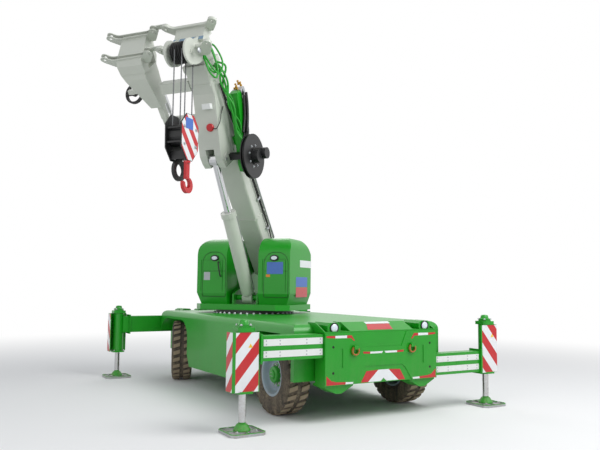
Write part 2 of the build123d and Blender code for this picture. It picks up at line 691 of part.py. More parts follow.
with BuildPart() as boom_head:
    with BuildSketch(boom_cross.offset(500)):
        Rectangle(TIP_W, TIP_H)
        chamfer(vertices(), 16)
        offset(amount=-10, mode=Mode.SUBTRACT)
    extrude(amount=BOOM_END + 170 - 500)
    # cheeks, round about the sheaves
    for x in (-TIP_W / 2 - CHEEK, TIP_W / 2):
        with BuildSketch(boom_side(x + CHEEK)):
            with BuildLine():
                Polyline(
                    (3825, -525), (3780, -400), (3760, -215), (3792, -215), (3792, 170), (4090, 176),
                    (4232, 88), (4105, -105), (4113, -281),
                )
                ThreePointArc((4113, -281), (4085, -595), (3825, -525))
            make_face()
        extrude(amount=CHEEK)
    # nose box between the cheeks and out to both sides, closed towards the front
    with BuildSketch(boom_side(250)):
        with BuildLine():
            Polyline((4232, 88), (4100, -110), (4030, -64), (4040, 150), (4110, 164), (4232, 88))
        make_face()
    extrude(amount=500)
    with BuildSketch(boom_side(262)):
        with BuildLine():
            Polyline((4100, -108), (4068, -160), (4018, -126), (4050, -74), (4100, -108))
        make_face()
    extrude(amount=524)
    with BuildSketch(ear_plane(0, EAR_UP)):
        with BuildLine():
            ear_outline(0, 190)
            mirror(about=Plane.YZ)
        make_face()
        with Locations((-EAR_SPAN, 0), (EAR_SPAN, 0)):
            RegularPolygon(EAR_HOLE, 10, mode=Mode.SUBTRACT)
    extrude(amount=20, both=True)
    for side in (-1, 1):
        with BuildSketch(ear_plane(0, EAR_LOW)):
            with BuildLine():
                ear_outline(TIP_W / 2 + 5, 230)
                Line((TIP_W / 2 + 5, -230), (TIP_W / 2 + 5, -20))
            make_face()
            if side < 0:
                mirror(about=Plane.YZ, mode=Mode.REPLACE)
            with Locations((side * EAR_SPAN, 0)):
                RegularPolygon(EAR_HOLE, 10, mode=Mode.SUBTRACT)
        extrude(amount=20, both=True)
    with BuildSketch(boom_side(TIP_W / 2 + CHEEK + 12)):
        with Locations((SHEAVE_S, SHEAVE_H)):
            RegularPolygon(40, 12)
    extrude(amount=TIP_W + 2 * CHEEK + 24)
keep(boom_head, "boom_head")

with BuildPart() as head_sheaves:
    core = SHEAVE_PITCH * 1.5
    with BuildSketch(hang_side(core)):
        RegularPolygon(SHEAVE_R - 22, 20)
        RegularPolygon(42, 12, mode=Mode.SUBTRACT)
    extrude(amount=2 * core)
    for x in (-1.5, -0.5, 0.5, 1.5):
        with BuildSketch(hang_side(x * (SHEAVE_PITCH - 5) + 6)):
            RegularPolygon(SHEAVE_R, 20)
            RegularPolygon(42, 12, mode=Mode.SUBTRACT)
        extrude(amount=12)
keep(head_sheaves, "head_sheaves")

# ---------------------------------------------------------------- folded jib
pulley_stub = pivot + lateral * -1430 + along * 3360 + boom_top * -20

with BuildPart() as jib_frame:
    # fork ears of thin plates, an upper and a lower pair
    for place in (EAR_UP, EAR_LOW):
        for shift in (-36, 24):
            with BuildSketch(ear_plane(JIB_X, place, shift)):
                with BuildLine():
                    ear_outline(0, 190)
                    mirror(about=Plane.YZ)
                make_face()
                with Locations((-EAR_SPAN, 0)):
                    RegularPolygon(EAR_HOLE, 10, mode=Mode.SUBTRACT)
            extrude(amount=-12)
        # link from the jib's ears to the head's, with its two pins
        with BuildSketch(ear_plane(JIB_X + EAR_SPAN, place, 36)):
            with Locations(((-JIB_X - 2 * EAR_SPAN) / 2, 0)):
                SlotCenterToCenter(-JIB_X - 2 * EAR_SPAN, 84)
        extrude(amount=-16)
        with BuildSketch(ear_plane(JIB_X + EAR_SPAN, place, 52)):
            with Locations((0, 0), (-JIB_X - 2 * EAR_SPAN, 0)):
                RegularPolygon(EAR_HOLE - 2, 10)
        extrude(amount=106)
    # end box between the ears
    with BuildSketch(boom_side(JIB_X + 230)):
        with BuildLine():
            Polyline(
                (4232, 88), (3968, -310), (3880, -345), (3740, -330), (3700, -20), (3860, 110),
                (4124, 158), (4232, 88),
            )
        make_face()
    extrude(amount=460)
    # boom of the jib draws in towards its end and leans in to the crane's boom
    with BuildSketch(Plane(origin=pivot + boom_top * 60, x_dir=lateral, z_dir=boom_top * -1)):
        with BuildLine():
            Polyline((-1262, 3760), (-818, 3760), (-838, 3110), (-1026, 3110), (-1262, 3760))
        make_face()
    extrude(amount=380)
    with BuildSketch(boom_side(-800)):
        with BuildLine():
            Polyline((3100, -330), (3690, -330), (3100, -200), (3100, -330))
        make_face()
        with BuildLine():
            Polyline((3100, 70), (3690, 70), (3100, -10), (3100, 70))
        make_face()
    extrude(amount=500, mode=Mode.SUBTRACT)
    with BuildSketch(boom_cross.offset(2890)):
        with Locations((-900, -100)):
            Rectangle(96, 96)
    extrude(amount=240)
    # pocket with a lightening hole on the under side
    with BuildSketch(boom_side(-760)):
        with BuildLine():
            Polyline((3990, 60), (3870, -180), (3760, -200), (3780, 20), (3990, 60))
        make_face()
    extrude(amount=120, mode=Mode.SUBTRACT)
    # arm and stub that carry the pulley beside it
    with BuildSketch(boom_side(-1070)):
        with Locations((3360, -20)):
            Rectangle(70, 60)
    extrude(amount=390)
    with BuildSketch(Plane(origin=pulley_stub, x_dir=lateral, z_dir=forward)):
        RegularPolygon(30, 12)
    extrude(amount=-80)
keep(jib_frame, "jib_frame")

with BuildPart() as jib_sheave:
    with BuildSketch(Plane(origin=pulley_stub - forward * 80, x_dir=lateral, z_dir=forward * -1)):
        RegularPolygon(168, 24)
        RegularPolygon(134, 24, mode=Mode.SUBTRACT)
        Rectangle(280, 44)
        RegularPolygon(46, 12)
    extrude(amount=50)
keep(jib_sheave, "jib_sheave")

with BuildPart() as jib_ram:
    with BuildSketch(boom_cross.offset(2890)):
        with Locations((-940, 130)):
            RegularPolygon(44, 12)
    extrude(amount=760)
    with BuildSketch(boom_cross.offset(2700)):
        with Locations((-940, 130)):
            RegularPolygon(24, 12)
    extrude(amount=200)
keep(jib_ram, "jib_ram")

# ---------------------------------------------------------------- hook block
BLOCK_HALF = 140
PLATE = [(90, 0), (220, -150), (212, -500), (70, -670)]     # cheek outline, half of it

with BuildPart() as hook_block:
    for x in (-BLOCK_HALF, BLOCK_HALF - 18):
        with BuildSketch(hang_side(x + 18)):
            with BuildLine():
                Polyline(*[(px, py - HOOK_DROP) for px, py in PLATE])
                Line((0, -HOOK_DROP), (PLATE[0][0], -HOOK_DROP))
                Line((0, PLATE[-1][1] - HOOK_DROP), (PLATE[-1][0], PLATE[-1][1] - HOOK_DROP))
                mirror(about=Plane.YZ)
            make_face()
        extrude(amount=18)
    with BuildSketch(hang_side(BLOCK_HALF - 10)):
        with Locations((0, -HOOK_DROP - 300)):
            RegularPolygon(SHEAVE_R, 24)
        # spreader bars between the cheeks
        with Locations(*((x, -HOOK_DROP - z) for x in (178, -178) for z in (215, 420))):
            Rectangle(34, 26)
    extrude(amount=2 * BLOCK_HALF - 20)
    with BuildSketch(hang_side(BLOCK_HALF - 10)):
        with Locations((0, -HOOK_DROP - 590)):
            Rectangle(150, 120)
    extrude(amount=2 * BLOCK_HALF - 20)
    # bumper ring under the block, beside the hook
    with BuildSketch(hang_side(-12)):
        with Locations((0, -HOOK_DROP - 800)):
            RegularPolygon(155, 24)
            RegularPolygon(92, 24, mode=Mode.SUBTRACT)
        with Locations((0, -HOOK_DROP - 650)):
            Rectangle(60, 60)
    extrude(amount=46)
keep(hook_block, "hook_block")

ROPE_Y = SHEAVE_R - 12

with BuildPart() as hoist_rope:
    for x, y in ((x, y) for y in (ROPE_Y, -ROPE_Y) for x in (-SHEAVE_PITCH, SHEAVE_PITCH)):
        with BuildSketch(Plane(origin=sheave + lateral * x + forward * y, x_dir=lateral, z_dir=up)):
            RegularPolygon(ROPE_R, 8)
        extrude(amount=-HOOK_DROP - 180)
keep(hoist_rope, "hoist_rope")

HOOK_X = 98             # the hook's swivel stands this far off the middle of the block
HOOK_TOP = -HOOK_DROP - 671
hook_axis = sheave + lateral * HOOK_X
with BuildPart() as hook:
    with BuildSketch(Plane(origin=hook_axis + up * HOOK_TOP, x_dir=lateral, z_dir=up)):
        RegularPolygon(50, 12)
    extrude(amount=-30)
    with BuildSketch(hang_side(HOOK_X + 22)):
        with Locations((0, HOOK_TOP - 130)):
            Rectangle(84, 220)
    extrude(amount=44)
    with BuildSketch(hang_side(HOOK_X + 26)):
        with BuildLine():
            Polyline((-42, HOOK_TOP - 238), (42, HOOK_TOP - 238), (30, HOOK_TOP - 262))
            ThreePointArc((30, HOOK_TOP - 262), (-62, HOOK_TOP - 330), (0, HOOK_TOP - 392))
            ThreePointArc((0, HOOK_TOP - 392), (52, HOOK_TOP - 366), (66, HOOK_TOP - 318))
            Polyline((66, HOOK_TOP - 318), (112, HOOK_TOP - 300))
            ThreePointArc((112, HOOK_TOP - 300), (80, HOOK_TOP - 420), (-24, HOOK_TOP - 462))
            ThreePointArc((-24, HOOK_TOP - 462), (-128, HOOK_TOP - 350), (-42, HOOK_TOP - 238))
        make_face()
    extrude(amount=52)
keep(hook, "hook")

# ---------------------------------------------------------------- reel and duct on the boom
with BuildPart() as hose_reel:
    for x, r, t, flats in ((540, 350, 14, 32), (600, 350, 14, 32), (620, 130, 90, 16), (700, 110, 90, 16)):
        with BuildSketch(boom_side(x)):
            with Locations((2190, -330)):
                RegularPolygon(r, flats)
        extrude(amount=t)
    with BuildSketch(boom_side(540)):
        with Locations((2230, -360)):
            Rectangle(90, 90)
    extrude(amount=350)
    with BuildSketch(boom_side(760)):
        with Locations((2160, -190)):
            RegularPolygon(90, 16)
    extrude(amount=180)
keep(hose_reel, "hose_reel")

with BuildPart() as hose_duct:
    with BuildSketch(boom_side(420)):
        with BuildLine():
            Polyline(
                (3100, 60), (3110, 150), (3040, 200), (2900, 160), (2480, 30), (1960, -190),
                (1900, -290), (1960, -360), (2060, -350), (2560, -150), (3020, 10), (3100, 60),
            )
        make_face()
    extrude(amount=140)
    for s, h in ((2950, 80), (2380, -90)):
        with BuildSketch(boom_side(BOOM_W / 2 + 84)):
            with Locations((s, h)):
                Rectangle(130, 70)
        extrude(amount=84)
keep(hose_duct, "hose_duct")
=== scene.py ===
"""Looks of a compact crane with a slewing turret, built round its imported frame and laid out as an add-on."""
import json
from math import cos, pi, radians, sin, tau

import bpy
import numpy as np
from bpy.props import FloatProperty, FloatVectorProperty, IntProperty, PointerProperty
from mathutils import Matrix, Vector


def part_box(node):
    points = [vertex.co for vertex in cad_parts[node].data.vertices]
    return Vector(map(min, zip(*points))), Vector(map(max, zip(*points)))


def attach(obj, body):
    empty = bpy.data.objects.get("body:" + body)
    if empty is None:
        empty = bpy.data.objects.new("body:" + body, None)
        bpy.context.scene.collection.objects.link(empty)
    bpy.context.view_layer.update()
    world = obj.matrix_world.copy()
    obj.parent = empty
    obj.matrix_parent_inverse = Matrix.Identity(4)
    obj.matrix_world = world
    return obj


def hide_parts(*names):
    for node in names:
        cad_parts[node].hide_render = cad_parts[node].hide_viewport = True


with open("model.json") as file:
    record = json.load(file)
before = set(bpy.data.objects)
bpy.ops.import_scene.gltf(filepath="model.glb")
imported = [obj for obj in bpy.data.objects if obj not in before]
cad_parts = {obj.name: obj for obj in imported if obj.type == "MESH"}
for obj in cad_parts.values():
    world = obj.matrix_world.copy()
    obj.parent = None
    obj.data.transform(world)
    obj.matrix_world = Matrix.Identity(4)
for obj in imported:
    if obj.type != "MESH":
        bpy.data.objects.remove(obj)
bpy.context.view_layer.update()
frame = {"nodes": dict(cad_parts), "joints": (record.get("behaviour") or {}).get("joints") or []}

bl_info = {
    "name": "Turret Crane Looks",
    "version": (1, 0, 0),
    "blender": (4, 5, 0),
    "location": "View3D > Sidebar > Crane",
    "description": "Finishes, tyres, stripes, lamps and hoses of a compact turret crane",
    "category": "Object",
}


# ---------------------------------------------------------------- places read from the frame
def joint(name):
    """Anchor and unit axis of a joint, as arrays in metres."""
    found = next(j for j in frame["joints"] if j["name"] == name)
    axis = np.array(found["axis"], float)
    return np.array(found.get("pos_m", (0, 0, 0)), float), axis / np.linalg.norm(axis)


class Place:
    """A right-handed local frame: an origin and three unit axes, kept as the rows of a matrix."""

    def __init__(self, origin, x, y):
        self.origin = np.array(origin, float)
        self.axes = np.array([x, y, np.cross(x, y)], float)

    def at(self, points):
        """Local points, any array whose last side is 3, in the object's frame."""
        return self.origin + np.asarray(points, float) @ self.axes

    def moved(self, x=0.0, y=0.0, z=0.0):
        """The same axes with the origin moved by local amounts."""
        return Place(self.at((x, y, z)), self.axes[0], self.axes[1])


SLEW, UP = joint("slew")
PIVOT, LUFF_AXIS = joint("luff")
LATERAL = -LUFF_AXIS
FORWARD = np.cross(LATERAL, UP)
ALONG = joint("telescope_mid")[1]
BOOM_TOP = np.cross(ALONG, LATERAL)
RAM = joint("luff_rod_slide")[1]
FOOT = joint("luff_barrel_swing")[0]
SHEAVE = joint("hook_hang")[0]

CENTRE_X = SLEW[0]
chassis_place = Place((CENTRE_X, 0, 0), (1, 0, 0), (0, 1, 0))
turret_place = Place(SLEW, LATERAL, -FORWARD)      # x across, y to the rear, z up
boom_place = Place(PIVOT, LATERAL, BOOM_TOP)       # x across, y to the boom's top, z along it
ram_place = Place(FOOT, LATERAL, np.cross(RAM, LATERAL))
hang_place = Place(SHEAVE, LATERAL, -FORWARD)

WHEELS = ("near_left", "near_right", "far_left", "far_right")
OUTRIGGERS = (
    # name, side, end
    ("near_left", -1, -1),
    ("near_right", 1, -1),
    ("far_left", -1, 1),
    ("far_right", 1, 1),
)


def wheel_place(name):
    """Wheel frame: z runs outward along the axle and x is up."""
    axle = joint("roll_" + name)[1]
    middle = np.mean(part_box("tyre_" + name), axis=0)
    outward = axle if axle[0] * (middle[0] - CENTRE_X) > 0 else -axle
    return Place(middle, UP, np.cross(outward, UP))


# ---------------------------------------------------------------- settings
def srgb(red, green, blue):
    """A screen colour of 0 to 255 as the linear colour that shaders use."""
    c = np.array([red, green, blue]) / 255
    return tuple(np.where(c <= 0.04045, c / 12.92, ((c + 0.055) / 1.055) ** 2.4))


def colour(label, text, value):
    """A colour setting."""
    return FloatVectorProperty(
        name=label, description=text, subtype="COLOR", size=3, min=0, max=1, default=srgb(*value)
    )


def length(label, text, value):
    """A length setting in metres."""
    return FloatProperty(name=label, description=text, default=value, min=0, unit="LENGTH", precision=4)


class CraneColours(bpy.types.PropertyGroup):
    """Colours of the finishes."""

    body: colour("Body", "Bright paint of hull, beams, pods and covers", (8, 146, 16))
    boom: colour("Boom", "Pale paint of the boom, its head, the jib and the ram barrel", (196, 200, 190))
    rim: colour("Rim", "Paint of the wheel discs", (150, 168, 182))
    signal: colour("Signal red", "Red of stripes, rings and hook", (190, 6, 20))
    tyre: colour("Tyre", "Rubber of the tyres", (62, 57, 52))
    dust: colour("Dust", "Dry dust that settles on tyres and low panels", (150, 134, 112))
    black: colour("Black", "Black paint and plastic", (18, 19, 20))


class CraneSizes(bpy.types.PropertyGroup):
    """Sizes of the fittings that are added to the frame."""

    lug_height: length("Lug height", "Height of the tyre lugs above the groove floor", 0.024)
    lug_pitch: IntProperty(
        name="Lugs a side", description="Lugs on each shoulder of a tyre", default=26, min=12, max=60
    )
    sheet: length("Sheet thickness", "Thickness of reflective sheets and labels", 0.0012)


class CraneStage(bpy.types.PropertyGroup):
    """Camera and light."""

    lens: FloatProperty(name="Lens", description="Focal length on a 36 mm sensor", default=39.61, min=10)
    key: FloatProperty(name="Key light", description="Power of the large lamp", default=760, unit="POWER")
    fill: FloatProperty(name="Fill light", description="Power of the others", default=210, unit="POWER")
    ambient: FloatProperty(name="Ambient", description="Strength of the even light", default=0.52, min=0)


# ---------------------------------------------------------------- surfaces worked out on grids
def grid(points, loop_rows=False, loop_columns=False, caps=(False, False)):
    """A surface through a grid of points (rows, columns, 3): one quad between each four neighbours.
    A looping side joins its last line to its first, and a cap closes the first or last row."""
    rows, columns = points.shape[:2]
    i = np.arange(rows if loop_rows else rows - 1)[:, None]
    j = np.arange(columns if loop_columns else columns - 1)[None, :]
    i2, j2 = (i + 1) % rows, (j + 1) % columns
    corners = (i * columns + j, i * columns + j2, i2 * columns + j2, i2 * columns + j)
    faces = np.stack(np.broadcast_arrays(*corners), -1).reshape(-1, 4).tolist()
    if caps[0]:
        faces.append(list(range(columns))[::-1])
    if caps[1]:
        faces.append([(rows - 1) * columns + k for k in range(columns)])
    return points.reshape(-1, 3), faces


def joined(shapes):
    """Several surfaces as one list of points and faces."""
    starts = np.cumsum([0] + [len(p) for p, _ in shapes])
    points = np.concatenate([p for p, _ in shapes])
    faces = [[k + int(s) for k in f] for (_, fs), s in zip(shapes, starts) for f in fs]
    return points, faces


def placed(shape, place):
    """The same surface with its local points taken to a place."""
    return place.at(shape[0]), shape[1]


def circle(radius, sides=24):
    """Points of a circle, counter-clockwise, by the cosine and sine of equal steps."""
    turn = np.arange(sides) * tau / sides
    return np.stack([radius * np.cos(turn), radius * np.sin(turn)], -1)


def rounded(corners, radius, steps=5):
    """A polygon with each corner replaced by an arc that touches both of its edges.
    The arc's centre lies on the corner's bisector; radius is one number or one for each corner."""
    corners = np.asarray(corners, float)
    radii = np.broadcast_to(np.asarray(radius, float), len(corners))
    back = np.roll(corners, 1, 0) - corners
    ahead = np.roll(corners, -1, 0) - corners
    back /= np.linalg.norm(back, axis=1)[:, None]
    ahead /= np.linalg.norm(ahead, axis=1)[:, None]
    half = np.arccos(np.clip((back * ahead).sum(1), -1, 1)) / 2
    bisector = back + ahead
    bisector /= np.linalg.norm(bisector, axis=1)[:, None]
    middle = corners + bisector * (radii / np.sin(half))[:, None]
    share = np.linspace(0, 1, steps)[None, :, None]
    start = (corners + back * (radii / np.tan(half))[:, None] - middle)[:, None]
    stop = (corners + ahead * (radii / np.tan(half))[:, None] - middle)[:, None]
    sweep = start * (1 - share) + stop * share
    sweep *= radii[:, None, None] / np.maximum(np.linalg.norm(sweep, axis=2, keepdims=True), 1e-9)
    return (middle[:, None] + sweep).reshape(-1, 2)


def rectangle(width, height, radius=0.0, x=0.0, y=0.0):
    """Corner points of a rectangle about (x, y), with rounded corners if a radius is given."""
    w, h = width / 2, height / 2
    corners = np.array([(-w, -h), (w, -h), (w, h), (-w, h)]) + (x, y)
    return rounded(corners, radius) if radius else corners


def between(left, right, low, high, radius=0.0):
    """A rectangle given by its four sides."""
    return rectangle(right - left, high - low, radius, (left + right) / 2, (low + high) / 2)


def counter_clockwise(points):
    """The outline in the order that keeps its inside on the left, by the sign of its area."""
    x, y = points[:, 0], points[:, 1]
    area = (x * np.roll(y, -1) - np.roll(x, -1) * y).sum()
    return points if area > 0 else points[::-1]


def inset(points, amount):
    """The outline moved inward by an amount, each corner along its mitre."""
    edge = np.roll(points, -1, 0) - points
    edge /= np.maximum(np.linalg.norm(edge, axis=1), 1e-9)[:, None]
    out = np.stack([edge[:, 1], -edge[:, 0]], -1)
    both = out + np.roll(out, 1, 0)
    return points - both * (amount / np.maximum((both**2).sum(1) / 2, 0.2))[:, None]


def layer(outline, height):
    """The outline lifted to a height, as one row of a grid."""
    return np.concatenate([outline, np.full((len(outline), 1), float(height))], 1)


def slab(outline, low, high, bevel=0.0):
    """An outline carried from low to high, its rims drawn in by a bevel, closed at both ends."""
    outline = counter_clockwise(np.asarray(outline, float))
    if bevel:
        small = inset(outline, bevel)
        rows = [(small, low), (outline, low + bevel), (outline, high - bevel), (small, high)]
    else:
        rows = [(outline, low), (outline, high)]
    return grid(np.array([layer(o, z) for o, z in rows]), loop_columns=True, caps=(True, True))


def ring_slab(outer, inner, low, high):
    """A flat ring between two outlines of equally many points, carried round its own section."""
    outer, inner = counter_clockwise(outer), counter_clockwise(inner)
    rows = [layer(inner, low), layer(outer, low), layer(outer, high), layer(inner, high)]
    return grid(np.array(rows), loop_rows=True, loop_columns=True)


def lathe(profile, sides=32):
    """A profile of (radius, height) turned about z: x = r cos t, y = r sin t, z = height."""
    profile = np.asarray(profile, float)
    turn = np.arange(sides) * tau / sides
    r, z = profile[:, :1], profile[:, 1:]
    points = np.stack([r * np.cos(turn), r * np.sin(turn), z + 0 * turn], -1)
    return grid(points, loop_columns=True, caps=(True, True))


def along_path(path, loop=False):
    """Unit tangent and two cross directions at each point of a path, carried on without twist."""
    path = np.asarray(path, float)
    if loop:
        tangent = np.roll(path, -1, 0) - np.roll(path, 1, 0)
    else:
        tangent = np.gradient(path, axis=0)
    tangent /= np.linalg.norm(tangent, axis=1)[:, None]
    side = np.cross(tangent[0], np.eye(3)[np.abs(tangent[0]).argmin()])
    sides = []
    for t in tangent:
        side = side - t * side.dot(t)
        side /= np.linalg.norm(side)
        sides.append(side)
    sides = np.array(sides)
    return tangent, sides, np.cross(tangent, sides)


def sweep(outline, path, loop=False):
    """An outline (x, y) carried along a path: point = path + x * side + y * other side."""
    outline = np.asarray(outline, float)
    _, side, other = along_path(path, loop)
    points = (
        np.asarray(path, float)[:, None]
        + outline[None, :, :1] * side[:, None]
        + outline[None, :, 1:] * other[:, None]
    )
    return grid(points, loop_rows=loop, loop_columns=True, caps=(not loop, not loop))


def smooth_path(points, steps=8, loop=False):
    """A Catmull-Rom curve through the points: a cubic blend of each four neighbours."""
    p = np.asarray(points, float)
    if loop:
        p = np.concatenate([p[-1:], p, p[:2]])
    else:
        p = np.concatenate([2 * p[:1] - p[1:2], p, 2 * p[-1:] - p[-2:-1]])
    t = np.linspace(0, 1, steps, endpoint=False)[None, :, None]
    a, b, c, d = (p[k : len(p) - 3 + k, None] for k in range(4))
    curve = 0.5 * (2 * b + (c - a) * t + (2 * a - 5 * b + 4 * c - d) * t**2
                   + (3 * b - a - 3 * c + d) * t**3)
    curve = curve.reshape(-1, 3)
    return curve if loop else np.concatenate([curve, p[-2:-1]])


def tube(points, radius, sides=12, steps=8, loop=False):
    """A round hose or bar along a smooth curve through the points."""
    return sweep(circle(radius, sides), smooth_path(points, steps, loop), loop)


def repeated(shape, places):
    """The same surface at each of several places."""
    return joined([placed(shape, place) for place in places])


def hexagon_bolt(across, head, washer=0.0):
    """A bolt head with six sides and a chamfered top, on a round washer."""
    radius = across / 3**0.5
    turn = circle(1, 6)
    rows = [(radius, washer), (radius, washer + head * 0.8), (radius * 0.86, washer + head)]
    body = grid(np.array([layer(turn * r, z) for r, z in rows]), loop_columns=True, caps=(True, True))
    if not washer:
        return body
    return joined([lathe([(across * 0.95, 0), (across * 0.95, washer)], 16), body])


def piece(name, shapes, finish, body, uv=None, angle=35):
    """One mesh object made of shapes that are already in place, riding on a body. finish is a
    material or the name of one."""
    points, faces = joined(shapes)
    mesh = bpy.data.meshes.new(name)
    mesh.from_pydata(points, [], faces)
    if uv is not None:
        corners = np.empty(len(mesh.loops), int)
        mesh.loops.foreach_get("vertex_index", corners)
        mesh.uv_layers.new(name="UVMap").data.foreach_set("uv", np.asarray(uv)[corners].ravel())
    mesh.materials.append(material(finish) if isinstance(finish, str) else finish)
    mesh.polygons.foreach_set("use_smooth", np.ones(len(mesh.polygons), bool))
    mesh.set_sharp_from_angle(angle=radians(angle))
    mesh.validate()
    made = bpy.data.objects.new(name, mesh)
    bpy.context.scene.collection.objects.link(made)
    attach(made, body)
    return made


# ---------------------------------------------------------------- shader nodes
def put(tree, kind, inputs=None, **settings):
    """A new node with its settings, each input either linked to a socket or given a value."""
    made = tree.nodes.new("ShaderNode" + kind)
    for key, value in settings.items():
        setattr(made, key, value)
    for key, value in (inputs or {}).items():
        if isinstance(value, bpy.types.NodeSocket):
            tree.links.new(value, made.inputs[key])
        else:
            made.inputs[key].default_value = value
    return made


def calc(tree, operation, *values, clamp=False):
    """Result of a Math node on sockets or numbers."""
    return put(tree, "Math", dict(enumerate(values)), operation=operation, use_clamp=clamp).outputs[0]


def ease(tree, value, low, high):
    """0 below low, 1 above high and a smooth step between; low may be the larger one."""
    return put(
        tree, "MapRange", {0: value, 1: low, 2: high, 3: 0.0, 4: 1.0}, interpolation_type="SMOOTHSTEP"
    ).outputs[0]


def blend(tree, share, first, second):
    """Colour mix of two sockets or colours."""
    return put(tree, "Mix", {0: share, 6: first, 7: second}, data_type="RGBA").outputs[2]


def noise(tree, where, scale, detail=4.0, rough=0.55):
    """Fractal noise of 0 to 1 at a number of features a metre."""
    inputs = {"Vector": where, "Scale": scale, "Detail": detail, "Roughness": rough}
    return put(tree, "TexNoise", inputs).outputs["Fac"]


def object_point(tree):
    """The point's place in the object, in metres, and its three parts."""
    point = put(tree, "TexCoord").outputs["Object"]
    parts = put(tree, "SeparateXYZ", {0: point}).outputs
    return point, parts


def vector(tree, operation, *values):
    """Outputs of a Vector Math node on sockets or vectors."""
    return put(tree, "VectorMath", dict(enumerate(values)), operation=operation).outputs


def axis_distance(tree, point, origin, axis):
    """Distance from a line through origin along axis: the length of a cross product."""
    away = vector(tree, "SUBTRACT", point, tuple(origin))[0]
    return vector(tree, "LENGTH", vector(tree, "CROSS_PRODUCT", away, tuple(axis))[0])["Value"]


def plane_distance(tree, point, origin, axis):
    """Signed distance from a plane through origin that faces along axis."""
    away = vector(tree, "SUBTRACT", point, tuple(origin))[0]
    return vector(tree, "DOT_PRODUCT", away, tuple(axis))["Value"]


def new_group(name, inputs, outputs):
    """An empty node group with named sockets, its input node and its output node."""
    tree = bpy.data.node_groups.new(name, "ShaderNodeTree")
    kinds = {"F": "NodeSocketFloat", "C": "NodeSocketColor"}
    for label, kind in inputs:
        tree.interface.new_socket(label, in_out="INPUT", socket_type=kinds[kind])
    for label, kind in outputs:
        tree.interface.new_socket(label, in_out="OUTPUT", socket_type=kinds[kind])
    return tree, tree.nodes.new("NodeGroupInput").outputs, tree.nodes.new("NodeGroupOutput").inputs


DUSTY_HEIGHT = 1.15, 0.15         # dust starts at the first height and is full at the second


def weather_group():
    """Wear that every outdoor finish shows: mottled tone, dust low down and on ledges, dry streaks."""
    tree, given, result = new_group(
        "Weather",
        [("Color", "C"), ("Roughness", "F"), ("Dust Color", "C"), ("Dust", "F"), ("Mottle", "F")],
        [("Color", "C"), ("Roughness", "F"), ("Height", "F")],
    )
    point, parts = object_point(tree)
    cloud = noise(tree, point, 2.3, 6.0, 0.6)
    grain = noise(tree, point, 38.0, 5.0, 0.65)
    stretched = put(tree, "Mapping", {0: point, 3: (9.0, 9.0, 0.8)}).outputs[0]
    streak = noise(tree, stretched, 1.6, 4.0, 0.6)
    tone = calc(tree, "MULTIPLY_ADD", calc(tree, "SUBTRACT", cloud, 0.5), given["Mottle"], 1.0)
    toned = put(tree, "VectorMath", {0: given["Color"], 3: tone}, operation="SCALE").outputs[0]
    low = ease(tree, parts[2], *DUSTY_HEIGHT)
    normal = put(tree, "NewGeometry").outputs["Normal"]
    facing = put(tree, "SeparateXYZ", {0: normal}).outputs[2]
    ledge = calc(tree, "MULTIPLY", ease(tree, facing, 0.75, 0.99), 0.45)
    where = calc(tree, "ADD", calc(tree, "MULTIPLY", low, 0.75), ledge)
    mixed = calc(tree, "ADD", calc(tree, "MULTIPLY", grain, 0.5), calc(tree, "MULTIPLY", streak, 0.5))
    patchy = ease(tree, mixed, 0.35, 0.68)
    dusty = calc(tree, "MULTIPLY", calc(tree, "MULTIPLY", where, patchy), given["Dust"], clamp=True)
    tree.links.new(blend(tree, dusty, toned, given["Dust Color"]), result["Color"])
    rougher = calc(tree, "MULTIPLY_ADD", calc(tree, "SUBTRACT", grain, 0.5), 0.16, given["Roughness"])
    rougher = calc(tree, "MULTIPLY_ADD", dusty, 0.45, rougher, clamp=True)
    tree.links.new(rougher, result["Roughness"])
    tree.links.new(calc(tree, "MULTIPLY_ADD", dusty, 0.3, grain), result["Height"])
    return tree


BAR_BLUR = 0.007                  # half the soft edge of a bar, as a share of its pitch


def stripe_group():
    """Slanting bars from a flat coordinate: the fraction of (u cos a + v sin a) / pitch, cut at half."""
    tree, given, result = new_group(
        "Slanting Bars", [("Along", "F"), ("Up", "F"), ("Pitch", "F"), ("Slant", "F")], [("Mask", "F")]
    )
    run = calc(tree, "ADD", calc(tree, "MULTIPLY", given["Along"], calc(tree, "COSINE", given["Slant"])),
               calc(tree, "MULTIPLY", given["Up"], calc(tree, "SINE", given["Slant"])))
    part = calc(tree, "FRACT", calc(tree, "DIVIDE", run, given["Pitch"]))
    edge = calc(tree, "ABSOLUTE", calc(tree, "SUBTRACT", part, 0.5))
    tree.links.new(ease(tree, edge, 0.25 - BAR_BLUR, 0.25 + BAR_BLUR), result["Mask"])
    return tree


COAT_ROUGHNESS = 0.08
BUMP_DEPTH = 0.002


def finish_output(tree, shader):
    """Links the shader to the material's output."""
    tree.links.new(shader, put(tree, "OutputMaterial").inputs["Surface"])


